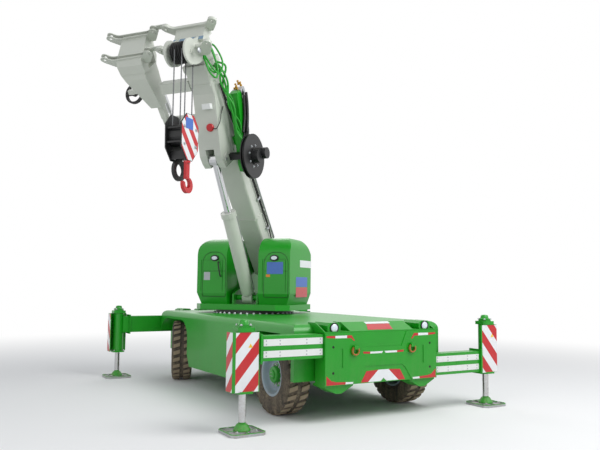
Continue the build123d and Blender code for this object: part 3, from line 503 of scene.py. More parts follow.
def finish(name, base, rough, metallic=0.0, coat=0.0, dust=0.3, mottle=0.25, bump=0.05, zones=()):
    """A weathered finish. zones are functions of (tree, point) that give a mask, a colour and,
    if they differ, a roughness and a metallic value, laid over the base one after another."""
    made = bpy.data.materials.new(name)
    made.use_nodes = True
    tree = made.node_tree
    tree.nodes.clear()
    point, _ = object_point(tree)
    tint, roughness, metal = (*base, 1), rough, metallic
    for zone in zones:
        mask, zone_colour, zone_rough, zone_metal = zone(tree, point)
        tint = blend(tree, mask, tint, zone_colour)
        if zone_rough is not None:
            roughness = put(tree, "Mix", {0: mask, 2: roughness, 3: zone_rough}).outputs[0]
        if zone_metal is not None:
            metal = put(tree, "Mix", {0: mask, 2: metal, 3: zone_metal}).outputs[0]
    settled = (*bpy.context.scene.crane_colours.dust, 1)
    worn = put(
        tree, "Group",
        {"Color": tint, "Roughness": roughness, "Dust Color": settled, "Dust": dust, "Mottle": mottle},
        node_tree=bpy.data.node_groups.get("Weather") or weather_group(),
    ).outputs
    relief = put(tree, "Bump", {"Height": worn["Height"], "Strength": bump, "Distance": BUMP_DEPTH})
    shader = put(tree, "BsdfPrincipled", {
        "Base Color": worn["Color"], "Roughness": worn["Roughness"], "Metallic": metal,
        "Coat Weight": coat, "Coat Roughness": COAT_ROUGHNESS, "Normal": relief.outputs[0],
    })
    finish_output(tree, shader.outputs[0])
    return made


ZONE_EDGE = 0.002                 # a zone fades out over this length


def band_zone(distance, origin, axis, start, stop, tint, rough=None, metal=None):
    """A zone of one colour between two distances, measured by axis_distance or plane_distance.
    Without a start it runs from the origin on."""
    def zone(tree, point):
        far = distance(tree, point, origin, axis)
        inside = ease(tree, far, stop + ZONE_EDGE, stop)
        if start is not None:
            inside = calc(tree, "MULTIPLY", inside, ease(tree, far, start, start + ZONE_EDGE))
        return inside, (*tint, 1), rough, metal
    return zone


CHROME = (0.62, 0.63, 0.64)
STEEL = (0.36, 0.37, 0.38)
ZINC = (0.46, 0.48, 0.5)


def material(name):
    """A finish by its name, made once from the settings."""
    if name in bpy.data.materials:
        return bpy.data.materials[name]
    c = bpy.context.scene.crane_colours
    recipes = {
        "body_paint": dict(base=c.body, rough=0.36, coat=0.12, dust=0.16, mottle=0.2, bump=0.05),
        "boom_paint": dict(base=c.boom, rough=0.4, coat=0.1, dust=0.2, mottle=0.16, bump=0.05),
        "black_paint": dict(base=c.black, rough=0.42, dust=0.3, mottle=0.5, bump=0.12),
        "black_plastic": dict(base=c.black, rough=0.58, dust=0.35, mottle=0.5, bump=0.25),
        "hose_rubber": dict(base=c.black, rough=0.5, dust=0.25, mottle=0.4, bump=0.3),
        "red_paint": dict(base=c.signal, rough=0.34, coat=0.3, dust=0.2, mottle=0.3, bump=0.05),
        "chrome": dict(base=CHROME, rough=0.12, metallic=1.0, dust=0.12, mottle=0.1, bump=0.02),
        "bare_steel": dict(base=STEEL, rough=0.36, metallic=1.0, dust=0.3, mottle=0.4, bump=0.15),
        "zinc": dict(base=ZINC, rough=0.42, metallic=0.85, dust=0.5, mottle=0.5, bump=0.2),
        "wear_strip": dict(base=srgb(226, 228, 226), rough=0.4, dust=0.25, mottle=0.1, bump=0.05),
        "brass": dict(base=srgb(196, 150, 66), rough=0.3, metallic=1.0, dust=0.2, mottle=0.3, bump=0.1),
        "white_paint": dict(base=srgb(232, 234, 232), rough=0.36, coat=0.2, dust=0.2, mottle=0.1),
        # dark of the door seams, and painted shade for the end plates' holes
        "dark_seam_and_hole_shade": dict(base=srgb(8, 14, 8), rough=0.8, dust=0.1, mottle=0.3, bump=0.1),
    }
    return finish(name, **recipes[name])


def finish_nodes(table):
    """Gives each named frame node its finish."""
    for name, nodes in table.items():
        for node in nodes:
            slots = frame["nodes"][node].data.materials
            slots.clear()
            slots.append(material(name) if isinstance(name, str) else name)


# ---------------------------------------------------------------- operators
class CRANE_OT_frame_finishes(bpy.types.Operator):
    """Gives the nodes that show as they are their paint, steel and chrome"""

    bl_idname = "crane.frame_finishes"
    bl_label = "Frame Finishes"

    def execute(self, context):
        ends = [n for n, _, _ in OUTRIGGERS]
        c = context.scene.crane_colours
        finish_nodes({
            "body_paint": [
                "chassis", "deck", "beam_boxes", "end_plate_near", "end_plate_far", "pod_left", "pod_right",
                "boom_frame", "hose_duct", "turret_base", *("beam_" + n for n in ends),
            ],
            "boom_paint": ["boom_base", "boom_mid", "boom_head", "jib_frame", "luff_barrel"],
            "black_paint": [
                "axle_near", "axle_far", "knuckle_left", "knuckle_right", "power_pack", "slew_ring",
                "hook_block", "hose_reel",
            ],
            "black_plastic": ["jib_sheave"], "chrome": ["luff_rod", "jib_ram"], "red_paint": ["hook"],
        })
        leg = finish(
            "leg_steel", ZINC, 0.4, metallic=0.85, dust=0.5, mottle=0.4, bump=0.2,
            zones=[band_zone(plane_distance, (0, 0, 0), UP, *band) for band in (
                (0.03, 0.125, c.body, 0.4, 0.0), (0.125, 2.0, CHROME, 0.14, 1.0))],
        )
        finish_nodes({leg: ["leg_" + n for n in ends]})
        return {"FINISHED"}


# ---------------------------------------------------------------- sheets and zones on pieces
FILM_LIFT = 0.0013                # a label on top of another sheet starts this high


def flat_sheet(place, outline, lift=0.0):
    """A thin slab on a face with its flat coordinates: u and v are x and y in the face's plane."""
    points, faces = slab(outline, lift, lift + bpy.context.scene.crane_sizes.sheet)
    return placed((points, faces), place), points[:, :2]


def sheets(name, parts, finish, body):
    """Several thin slabs as one piece, with their flat coordinates as its UV map."""
    return piece(name, [s for s, _ in parts], finish, body, uv=np.concatenate([uv for _, uv in parts]))


def mirrored(outline):
    """The outline on the other side of its y axis."""
    return [(-x, y) for x, y in outline][::-1]


def bars_zone(pitch, slant, tint):
    """Slanting bars on the piece's own flat coordinates; slant is the direction across the bars."""
    def zone(tree, point):
        flat = put(tree, "SeparateXYZ", {0: put(tree, "UVMap").outputs[0]}).outputs
        group = put(
            tree, "Group", {"Along": flat[0], "Up": flat[1], "Pitch": pitch, "Slant": slant},
            node_tree=bpy.data.node_groups.get("Slanting Bars") or stripe_group(),
        )
        return group.outputs["Mask"], (*tint, 1), None, None
    return zone


def end_place(end, y):
    """Face of the chassis at one end: x to the right of a viewer there, y up, z outward."""
    return Place(chassis_place.at((0, y, 0)), (-end, 0, 0), (0, 0, 1))


def drum(place, profile, sides=32):
    """A turned shape put in place."""
    return placed(lathe(profile, sides), place)


def bolts(places, across=0.03, head=0.016, washer=0.003):
    """Bolt heads at each of several places, their shanks along z."""
    return repeated(hexagon_bolt(across, head, washer), places)


def ring_places(place, radius, count, z=0.0):
    """Places at equal steps on a circle about a place's z axis."""
    return [place.moved(radius * cos(k), radius * sin(k), z) for k in np.arange(count) * tau / count]


def hoop(place, radius, bar, z=0.0, around=64, sides=12):
    """A round bar bent to a closed ring about a place's z axis."""
    return tube(place.at(layer(circle(radius, around), z)), bar, sides, 1, True)


def block(place, width, height, depth, radius, bevel):
    """A block with rounded corners that stands on a place."""
    return placed(slab(rectangle(width, height, radius), 0.0, depth, bevel), place)


def boom_tubes(name, paths, radius, finish, body="boom", sides=12, steps=8):
    """Hoses, pipes or bars as one piece, each path in the boom's own frame."""
    piece(name, [tube(boom_place.at(p), radius, sides, steps) for p in paths], finish, body)


def barred_film(name, pitch, slant):
    """White film with slanting red bars; slant is in degrees."""
    bars = bars_zone(pitch, radians(slant), bpy.context.scene.crane_colours.signal)
    return finish(name, srgb(226, 228, 230), 0.34, coat=0.3, dust=0.2, mottle=0.06, bump=0.03, zones=[bars])


# ---------------------------------------------------------------- wheels
class CRANE_OT_tyres(bpy.types.Operator):
    """Makes the four tyres, with two rows of staggered blocks that run down over the shoulders"""

    bl_idname = "crane.tyres"
    bl_label = "Tyres"

    # place across the tyre, radius of the groove floor, share of the block height, block lean
    SECTION = (
        (0.128, 0.263, 0.0, 0.0), (0.146, 0.276, 0.0, 0.0), (0.160, 0.300, 0.0, 0.0),
        (0.165, 0.306, 0.0, 0.0), (0.165, 0.316, 0.0, 0.0), (0.171, 0.322, 0.0, 0.0),
        (0.1745, 0.356, 0.0, 0.0), (0.172, 0.398, 0.0, 0.0), (0.168, 0.418, 0.0, 0.0),
        (0.1665, 0.428, 0.30, 0.0), (0.160, 0.448, 0.62, 0.1), (0.152, 0.466, 0.90, 0.2),
        (0.138, 0.4765, 1.0, 0.35), (0.110, 0.480, 1.0, 0.6), (0.070, 0.4805, 1.0, 0.9),
        (0.034, 0.481, 1.0, 1.2), (0.027, 0.481, 0.0, 1.25), (0.008, 0.481, 0.0, 1.3),
    )
    # share of a block's pitch, and whether the block stands there
    PITCH = ((0.0, 1.0), (0.12, 1.0), (0.24, 1.0), (0.36, 1.0), (0.48, 1.0), (0.535, 0.0),
             (0.70, 0.0), (0.845, 0.0), (0.945, 0.0))
    LEAN = 0.32                   # share of a pitch that a block lean of 1 turns a row by

    def surface(self, sizes):
        """Radius = groove floor + block height x share across x share round, over a grid of section
        points and turns. Each row's turns are shifted by its block lean, and the two halves stand
        half a pitch apart."""
        half = np.array(self.SECTION)
        other = half[::-1] * (-1, 1, 1, 1)
        rows = np.concatenate([half, other])
        across, floor, share = rows[:, :1], rows[:, 1:2], rows[:, 2:3]
        shift = np.concatenate([half[:, 3] * self.LEAN, 0.5 - other[:, 3] * self.LEAN])
        steps = np.array(self.PITCH)
        turn = (np.arange(sizes.lug_pitch)[:, None] + steps[None, :, 0]).ravel() / sizes.lug_pitch
        stands = np.tile(steps[:, 1], sizes.lug_pitch)
        angle = tau * (turn + shift[:, None] / sizes.lug_pitch)
        radius = floor + sizes.lug_height * share * stands
        points = np.stack([radius * np.cos(angle), radius * np.sin(angle), across + 0 * angle], -1)
        # rows run from the outer bead over the tread to the inner one, so they are turned round
        return grid(points[::-1], loop_rows=True, loop_columns=True)

    def execute(self, context):
        colours, sizes = context.scene.crane_colours, context.scene.crane_sizes
        shape = self.surface(sizes)
        for name in WHEELS:
            place = wheel_place(name)
            rubber = finish(
                "tyre_rubber_" + name, colours.tyre, 0.82, dust=0.95, mottle=0.5, bump=0.45,
                zones=[band_zone(axis_distance, place.origin, place.axes[2], *band) for band in (
                    (0.4955, 0.52, colours.dust, 0.9), (0.30, 0.318, srgb(52, 48, 44), 0.8))],
            )
            made = piece("tyre_body_" + name, [placed(shape, place)], rubber, "wheel_" + name, angle=32)
            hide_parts("tyre_" + name)
        return {"FINISHED"}


class CRANE_OT_rims(bpy.types.Operator):
    """Turns the four wheel discs with their rolled rims, and adds hub caps, nuts and valves"""

    bl_idname = "crane.rims"
    bl_label = "Wheel Discs"

    # radius and place along the axle, from the inner side of the disc round to the outer side
    DISC = (
        (0.020, -0.060), (0.148, -0.060), (0.150, -0.012), (0.150, 0.008), (0.232, 0.010), (0.238, -0.004),
        (0.240, -0.126), (0.246, -0.138), (0.276, -0.142), (0.284, -0.138), (0.284, -0.129),
        (0.266, -0.125), (0.2615, -0.112), (0.2615, 0.112), (0.266, 0.125), (0.284, 0.129),
        (0.284, 0.138), (0.276, 0.142), (0.246, 0.139), (0.240, 0.128), (0.236, 0.090), (0.228, 0.052),
        (0.214, 0.034), (0.190, 0.030), (0.166, 0.036), (0.154, 0.052), (0.149, 0.060),
        (0.108, 0.061), (0.020, 0.061),
    )
    HUB = (
        (0.106, 0.058), (0.106, 0.104), (0.101, 0.116), (0.092, 0.121), (0.064, 0.122), (0.061, 0.126),
        (0.060, 0.136), (0.054, 0.140), (0.020, 0.1405),
    )
    STEM = ((0.206, 0, 0.034), (0.206, 0, 0.056), (0.212, 0, 0.082), (0.216, 0, 0.104))

    def execute(self, context):
        colours = context.scene.crane_colours
        for name in WHEELS:
            place, wheel = wheel_place(name), "wheel_" + name
            paint = finish(
                "disc_" + name, colours.rim, 0.36, coat=0.25, dust=0.55, mottle=0.2, bump=0.08,
                zones=[band_zone(axis_distance, place.origin, place.axes[2], None, 0.151, colours.body, 0.4)],
            )
            disc = piece("disc_" + name, [drum(place, self.DISC, 72)], paint, wheel, angle=40)
            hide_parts("rim_" + name)
            piece("hub_" + name, [drum(place, self.HUB, 48)], "body_paint", wheel, angle=40)
            nuts = bolts(ring_places(place, 0.128, 10, 0.060), 0.024, 0.014)
            screws = bolts(ring_places(place, 0.029, 3, 0.140), 0.014, 0.008, 0.0)
            piece("wheel_nuts_" + name, [nuts, screws], "zinc", wheel)
            piece("valve_" + name, [tube(place.at(self.STEM), 0.005, 8, 4)], "brass", wheel)
        return {"FINISHED"}


# ---------------------------------------------------------------- outriggers
JACK_X, JACK_Y = 1.91, 2.543      # a jack's axis from the middle of the chassis


def jack_place(side, end):
    """Axis of a jack: x to the right of a viewer at that end, y away from the viewer, z up."""
    return Place(chassis_place.at((side * JACK_X, end * JACK_Y, 0)), (-end, 0, 0), (0, -end, 0))


class CRANE_OT_hazard_sheets(bpy.types.Operator):
    """Lays the red and white barred sheets on the guards of the four jacks"""

    bl_idname = "crane.hazard_sheets"
    bl_label = "Hazard Sheets"

    FACE = 0.096                  # a guard stands this far out from its jack
    LOW, HIGH = 0.464, 1.122
    INNER, OUTER = 0.149, 0.138   # reach of the flat front from the jack
    SIDE = 0.165                  # the folded side stands this far out
    TRIANGLE = ((0.016, 0.160), (0.072, 0.160), (0.044, 0.208))

    def execute(self, context):
        middle, tall = (self.LOW + self.HIGH) / 2, self.HIGH - self.LOW
        wide, shift = self.INNER + self.OUTER, (self.OUTER - self.INNER) / 2
        yellow = finish("yellow_film", srgb(238, 190, 24), 0.4, dust=0.15, mottle=0.05)
        for name, side, end in OUTRIGGERS:
            out = -end * side
            film = barred_film("barred_film_" + name, 0.223, 40 * out)
            x, y = side * JACK_X, end * JACK_Y
            face = Place(chassis_place.at((x, y + end * self.FACE, middle)), (-end, 0, 0), (0, 0, 1))
            front = flat_sheet(face, rectangle(wide, tall, 0, out * shift))
            depth = y + end * (self.FACE - 0.108)
            fold = Place(chassis_place.at((x + side * self.SIDE, depth, middle)), (0, side, 0), (0, 0, 1))
            shape, flat = flat_sheet(fold, rectangle(0.158, tall))
            sheets("barred_sheet_" + name, [front, (shape, flat + (out * 0.247, 0))], film, "beam_" + name)
            if end < 0:
                triangle = [flat_sheet(face, self.TRIANGLE, FILM_LIFT)]
                sheets("triangle_" + name, triangle, yellow, "beam_" + name)
        return {"FINISHED"}


class CRANE_OT_jacks(bpy.types.Operator):
    """Adds flange bolts, caps, wear strips and pad bolts to the four outriggers"""

    bl_idname = "crane.jacks"
    bl_label = "Jacks and Beams"

    CAP = ((0.070, 0.0), (0.070, 0.012), (0.058, 0.020), (0.050, 0.052), (0.040, 0.062), (0.012, 0.066))
    TOP = 1.198                   # height of the flange that the cap stands on
    BEAM_Z = {-1: 0.933, 1: 0.622}      # height of the beams on either side
    SCREW = ((0.010, 0.0), (0.009, 0.0012), (0.003, 0.0014))
    HOLE = ((0.024, 0.0), (0.024, 0.003), (0.016, 0.003), (0.014, 0.001), (0.004, 0.001))

    def execute(self, context):
        for name, side, end in OUTRIGGERS:
            jack = jack_place(side, end)
            body = "beam_" + name
            piece("jack_cap_" + name, [drum(jack.moved(z=self.TOP), self.CAP)], "body_paint", body)
            rim = [(x, y) for x in (-0.083, 0.083) for y in (-0.083, 0.083)]
            top = [jack.moved(x * 0.7, y * 0.7, self.TOP) for x, y in rim]
            low = [jack.moved(x, y, 0.470) for x, y in rim]
            piece("jack_bolts_" + name, [bolts(top + low, 0.022, 0.014)], "zinc", body)
            box = end_place(end, end * (JACK_Y + 0.084))
            out, z = -end * side, self.BEAM_Z[side]
            strips = [
                placed(slab(rectangle(0.80, 0.078, 0.003, out * 1.296, z + k), 0.0, 0.003, 0.0008), box)
                for k in (-0.066, 0.066)
            ]
            piece("wear_strips_" + name, strips, "wear_strip", body)
            heads = [box.moved(out * x, z + k, 0.003) for x in (0.93, 1.12, 1.48, 1.66)
                     for k in (-0.086, -0.046, 0.046, 0.086)]
            piece("strip_screws_" + name, [repeated(lathe(self.SCREW, 14), heads)], "zinc", body)
            piece("beam_boss_" + name, [drum(box.moved(out * 1.30, z), self.HOLE)], "body_paint", body)
            foot = [jack.moved(0.17 * cos(k), 0.17 * sin(k), 0.038) for k in (0.8, 2.35, 3.95, 5.5)]
            piece("pad_bolts_" + name, [bolts(foot, 0.026, 0.012)], "zinc", "leg_" + name)
        return {"FINISHED"}


# ---------------------------------------------------------------- ends of the chassis
class CRANE_OT_end_marks(bpy.types.Operator):
    """Lays reflective strips and chevrons on both end plates and dresses their lamps and rings"""

    bl_idname = "crane.end_marks"
    bl_label = "End Marks and Lamps"

    FACE, FIELD = 2.664, 2.656    # the plate's raised face and its field, from the chassis' middle
    # outlines in x and height for the right half, each also laid mirrored on the left half
    RED = (
        ((0.737, 1.022), (0.862, 1.030), (0.862, 1.052), (0.737, 1.052)),
        ((0.497, 1.052), (0.446, 0.985), (0.470, 0.985), (0.500, 1.018), (0.566, 1.020), (0.566, 1.052)),
        ((0.213, 0.818), (0.318, 0.822), (0.322, 0.846), (0.213, 0.842)),
        ((0.862, 0.466), (0.862, 0.578), (0.790, 0.515), (0.735, 0.503), (0.768, 0.466)),
        ((0.588, 0.466), (0.768, 0.466), (0.735, 0.500), (0.580, 0.492)),
    )
    WHITE = (
        ((0.566, 1.020), (0.737, 1.022), (0.737, 1.052), (0.566, 1.052)),
        ((0.030, 0.818), (0.213, 0.818), (0.213, 0.842), (0.012, 0.842)),
        ((0.475, 0.466), (0.588, 0.466), (0.580, 0.492), (0.470, 0.488)),
    )
    CHEVRON_RED = (((0.240, 0.470), (0.350, 0.470), (0.265, 0.604), (0.082, 0.612)),)
    CHEVRON_WHITE = (
        ((0.0, 0.510), (0.045, 0.470), (0.240, 0.470), (0.082, 0.612), (0.0, 0.612)),
    )
    STRIP = ((-0.15, 0.170), (0.24, 0.170), (0.24, 0.222), (-0.15, 0.222))
    BLOCK = ((-0.22, 0.018), (0.18, 0.018), (0.213, 0.165), (-0.148, 0.165))
    LENS = ((0.052, 0.034), (0.052, 0.041), (0.044, 0.049), (0.026, 0.054), (0.004, 0.055))
    # a thin dark disc whose colour is painted shade standing for the inside of a hole
    HOLE = ((0.016, 0.0), (0.016, 0.0008), (0.004, 0.0008))

    def execute(self, context):
        colours = context.scene.crane_colours
        red = finish("red_film", colours.signal, 0.3, coat=0.35, dust=0.15, mottle=0.08, bump=0.04)
        white = finish("white_film", srgb(228, 231, 234), 0.3, coat=0.35, dust=0.15, mottle=0.05, bump=0.04)
        lens = finish("lamp_lens", srgb(222, 230, 240), 0.12, coat=0.8, dust=0.05, mottle=0.3, bump=0.5)
        for end, label in ((-1, "near"), (1, "far")):
            face, field = (end_place(end, end * y) for y in (self.FACE, self.FIELD))
            for tone, film, flat, chevron in (
                ("red", red, self.RED, self.CHEVRON_RED),
                ("white", white, self.WHITE, self.CHEVRON_WHITE),
            ):
                parts = [flat_sheet(face, f(o)) for o in flat for f in (list, mirrored)]
                parts += [flat_sheet(field, f(o)) for o in chevron for f in (list, mirrored)]
                sheets(f"end_film_{tone}_{label}", parts, film, "chassis")
            # painted shade: the end plate's holes are flat dark discs, not cut openings
            holes = [drum(face.moved(x, z), self.HOLE, 20) for x in (-0.765, 0.765) for z in (0.607, 0.917)]
            piece("end_hole_shade_" + label, holes, "dark_seam_and_hole_shade", "chassis")
            rings = [hoop(face.moved(x, 0.862, 0.023), 0.047, 0.0125, around=40) for x in (-0.45, 0.45)]
            piece("ring_paint_" + label, rings, "red_paint", "chassis")
            lamps = [end_place(end, end * 2.574).moved(x, 1.142) for x in (-0.72, 0.72)]
            piece("lamp_lens_" + label, [drum(p, self.LENS, 36) for p in lamps], lens, "chassis")
            rim = ring_slab(circle(0.062, 40), circle(0.051, 40), 0.034, 0.048)
            piece("lamp_rims_" + label, [repeated(rim, lamps)], "black_plastic", "chassis")
            slope = Place(chassis_place.at((0, end * 2.640, 1.100)), (-end, 0, 0), (0, -end * 0.903, 0.430))
            for name, outline, film in (("strip", self.STRIP, white), ("block", self.BLOCK, red)):
                sheets(f"hood_{name}_{label}", [flat_sheet(slope, outline, 0.001)], film, "chassis")
        return {"FINISHED"}


# ---------------------------------------------------------------- turret
# front of both housings: x across, y up from the ground
pod_face = Place((*SLEW[:2], 0) + FORWARD * 0.45, LATERAL, UP)


class CRANE_OT_pods(bpy.types.Operator):
    """Adds lamps, handles, door seams and blank labels to the two housings"""

    bl_idname = "crane.pods"
    bl_label = "Housings"

    # left, right and upper edge of each door
    DOORS = ((-0.776, -0.315, 2.215), (0.403, 0.850, 2.200))
    LAMPS = ((-0.533, 2.109), (0.598, 2.102))
    GRIP = ((-0.453, 2.040, -0.004), (-0.453, 2.032, 0.034), (-0.430, 1.92, 0.044), (-0.410, 1.808, 0.034),
            (-0.408, 1.800, -0.004))
    # name, colour or finish, and left, right, low and high side
    PATCHES = (
        ("label_blue", (70, 110, 190), (0.461, 0.756, 1.838, 2.036)),
        ("label_orange", (226, 128, 40), (0.445, 0.521, 1.788, 1.830)),
        ("label_grey", (176, 180, 184), (-0.746, -0.623, 1.732, 1.869)),
    )
    SIDE_LABELS = (
        ("side_label_white", "white_film", (-0.036, 0.46, 1.96, 2.08)),
        ("side_label_blue", "label_blue", (-0.199, 0.288, 1.63, 1.794)),
        ("side_label_red", "red_film", (-0.199, 0.288, 1.456, 1.622)),
    )

    def execute(self, context):
        seams = []
        for left, right, top in self.DOORS:
            corners = [(left, 1.45), (right, 1.45), (right, top), (left, top)]
            outer = rounded(corners, (0.02, 0.02, 0.19, 0.19), 9)
            groove = ring_slab(outer, inset(counter_clockwise(outer), 0.007), 0.0, 0.0012)
            hinge_line = rectangle(right - left - 0.03, 0.006, 0, (left + right) / 2, 1.887)
            seams += [placed(groove, pod_face), flat_sheet(pod_face, hinge_line)[0]]
        piece("door_seams", seams, "dark_seam_and_hole_shade", "turret")
        turn = circle(1, 40)
        lamps = [pod_face.moved(*at) for at in self.LAMPS]
        body = slab(turn * (0.078, 0.052), 0.0, 0.020, 0.005)
        piece("pod_lamp_bodies", [repeated(body, lamps)], "black_plastic", "turret")
        glass = slab(turn * (0.055, 0.031), 0.020, 0.026, 0.003)
        piece("pod_lamp_glass", [repeated(glass, lamps)], "lamp_lens", "turret")
        piece("pod_handle", [tube(pod_face.at(self.GRIP), 0.010)], "black_plastic", "turret")
        for name, tint, limits in self.PATCHES:
            label = finish(name, srgb(*tint), 0.4, dust=0.15, mottle=0.06)
            sheets(name, [flat_sheet(pod_face, between(*limits, 0.01), FILM_LIFT)], label, "turret")
        ring = ring_places(chassis_place.moved(y=SLEW[1]), 0.685, 40, 1.18)
        piece("ring_bolts", [bolts(ring, 0.030, 0.017)], "zinc", "chassis")
        side = Place((*SLEW[:2], 0) + LATERAL * 0.88, -FORWARD, UP)
        for name, film, limits in self.SIDE_LABELS:
            sheets(name, [flat_sheet(side, between(*limits))], film, "turret")
        return {"FINISHED"}


# ---------------------------------------------------------------- hook block and ropes
class CRANE_OT_hook_block(bpy.types.Operator):
    """Lays barred sheets on the cheeks of the hook block and twists the four rope falls"""

    bl_idname = "crane.hook_block"
    bl_label = "Hook Block and Ropes"

    TOP = -0.930                  # top of the cheeks, from the sheaves' axle
    CHEEK = ((0.086, -0.006), (0.214, -0.152), (0.207, -0.498), (0.068, -0.663))

    def rope(self, down, radius=0.009, strands=6, lay=0.075):
        """A laid rope: r = R (0.84 + 0.16 |cos(n/2 (t - 2 pi z / lay))|) over depth z and turn t."""
        z = np.linspace(-down, 0, int(down / 0.010))[:, None]
        t = np.arange(24)[None, :] * tau / 24
        r = radius * (0.84 + 0.16 * np.abs(np.cos(strands / 2 * (t - tau * z / lay))))
        points = np.stack([r * np.cos(t), r * np.sin(t), z + 0 * t], -1)
        return grid(points, loop_columns=True, caps=(True, True))

    def execute(self, context):
        film = barred_film("block_film", 0.187, 40)
        half = np.array(self.CHEEK) + (0, self.TOP)
        outline = np.concatenate([half * (-1, 1), half[::-1]])
        left, right = (Place(SHEAVE + LATERAL * 0.140 * k, -FORWARD * k, UP) for k in (-1, 1))
        parts = [flat_sheet(place, outline) for place in (left, right)]
        sheets("block_sheet", [(shape, flat - (0.028, 0)) for shape, flat in parts], film, "hook_block")
        label = flat_sheet(right, rectangle(0.19, 0.16, 0.006, -0.025, self.TOP - 0.14), 0.0014)
        sheets("block_label", [label], "label_blue", "hook_block")
        spots = ((0.15, -0.2), (-0.15, -0.2), (0.14, -0.45), (-0.14, -0.45))
        places = [right.moved(x, self.TOP + y, 0.0012) for x, y in spots]
        piece("block_bolts", [bolts(places, 0.026, 0.014)], "zinc", "hook_block")
        falls = [hang_place.moved(x, y) for x in (-0.062, 0.062) for y in (-0.148, 0.148)]
        wire = finish("rope_steel", (0.13, 0.135, 0.14), 0.5, metallic=0.5, dust=0.1, mottle=0.2)
        ropes = piece("rope_falls", [repeated(self.rope(1.11), falls)], wire, "hook_block", angle=60)
        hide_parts("hoist_rope")
        return {"FINISHED"}


# ---------------------------------------------------------------- boom, head and jib
# the way up the sloping underside of the bracket that carries the luffing cylinder
UNDERSIDE = ALONG * 0.9055 + BOOM_TOP * 0.4245


def boom_spot(lateral, height, along, x=LATERAL, y=BOOM_TOP):
    """A place on the boom, given in the boom's own frame, that faces along the boom if not told else."""
    return Place(boom_place.at((lateral, height, along)), x, y)


class CRANE_OT_boom_fittings(bpy.types.Operator):
    """Runs the hoses and pipes along the boom and ram and adds a lamp with its cable, a pin boss, the head's
    sheaves and their caps
    """

    bl_idname = "crane.boom_fittings"
    bl_label = "Boom Fittings"

    # lateral, height over the axis and place along the boom
    HOSE_START = (0.150, -0.19, 0.15)
    HOSE_RUN = ((0.226, 0.03, 1.2), (0.226, 0.01, 2.1), (0.222, -0.02, 2.95), (0.218, -0.02, 3.32))
    CABLE = ((0.11, -0.450, 2.77), (0.190, -0.47, 2.78), (0.225, -0.38, 2.84), (0.218, -0.26, 2.92),
             (0.210, -0.12, 2.98))
    # radius and height of turned shapes
    LAMP = ((0.062, -0.030), (0.062, 0.022), (0.055, 0.032), (0.012, 0.034))
    PIN = ((0.024, 0.0), (0.024, 0.008), (0.006, 0.010))
    SHAFT_CAP = ((0.040, 0.0), (0.040, 0.018), (0.030, 0.024), (0.006, 0.025))
    GROOVED = ((0.030, -0.024), (0.150, -0.024), (0.160, -0.020), (0.160, -0.013), (0.142, -0.004),
               (0.142, 0.004), (0.160, 0.013), (0.160, 0.020), (0.150, 0.024), (0.030, 0.024))

    def execute(self, context):
        hoses = [[self.HOSE_START, (0.226, 0.02, 0.34), *((x, y + k, s) for x, y, s in self.HOSE_RUN)]
                 for k in (0.0, 0.036)]
        boom_tubes("boom_hoses", hoses, 0.011, "hose_rubber")
        clamp = slab(rectangle(0.034, 0.11, 0.008), -0.018, 0.018, 0.002)
        spots = [boom_spot(0.224, 0.035, s) for s in (0.6, 1.2, 1.8, 2.4, 3.0)]
        piece("hose_clamps", [repeated(clamp, spots)], "zinc", "boom")
        pipes = [[(0.212, y, s) for s in np.linspace(0.3, 3.3, 4)] for y in (0.15, 0.17)]
        boom_tubes("boom_pipes", pipes, 0.007, "bare_steel", sides=10, steps=4)
        lines = [[(0.118 * cos(a), 0.118 * sin(a), s) for s in np.linspace(0.12, 1.5, 6)] for a in (0.7, 1.0)]
        tubes = [tube(ram_place.at(line), 0.009, 10, 4) for line in lines]
        piece("ram_pipes", tubes, "bare_steel", "luff_barrel")
        lamp = boom_spot(0.06, -0.426, 2.78, y=UNDERSIDE)
        piece("boom_lamp", [drum(lamp, self.LAMP, 40)], "red_paint", "boom")
        boom_tubes("lamp_cable", [self.CABLE], 0.007, "hose_rubber", sides=10)
        boss = boom_spot(0.19, -0.470, 2.264, BOOM_TOP, ALONG)
        piece("pin_boss", [block(boss, 0.13, 0.15, 0.014, 0.03, 0.003)], "boom_paint", "boom")
        piece("pin_end", [drum(boss.moved(x=-0.036, z=0.014), self.PIN)], "zinc", "boom")
        *three, guide = (
            drum(Place(SHEAVE + LATERAL * x, UP, FORWARD), self.GROOVED, 64)
            for x in (-0.062, 0.0, 0.062, -0.122)
        )
        wheels = piece("head_wheels", three, "black_plastic", "boom_head", angle=40)
        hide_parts("head_sheaves")
        piece("guide_wheel", [guide], "black_plastic", "boom_head", angle=40)
        sides = ((-0.25, FORWARD, UP), (0.25, UP, FORWARD))
        ends = [drum(Place(SHEAVE + LATERAL * x, a, b), self.SHAFT_CAP) for x, a, b in sides]
        piece("sheave_caps", ends, "zinc", "boom_head")
        return {"FINISHED"}


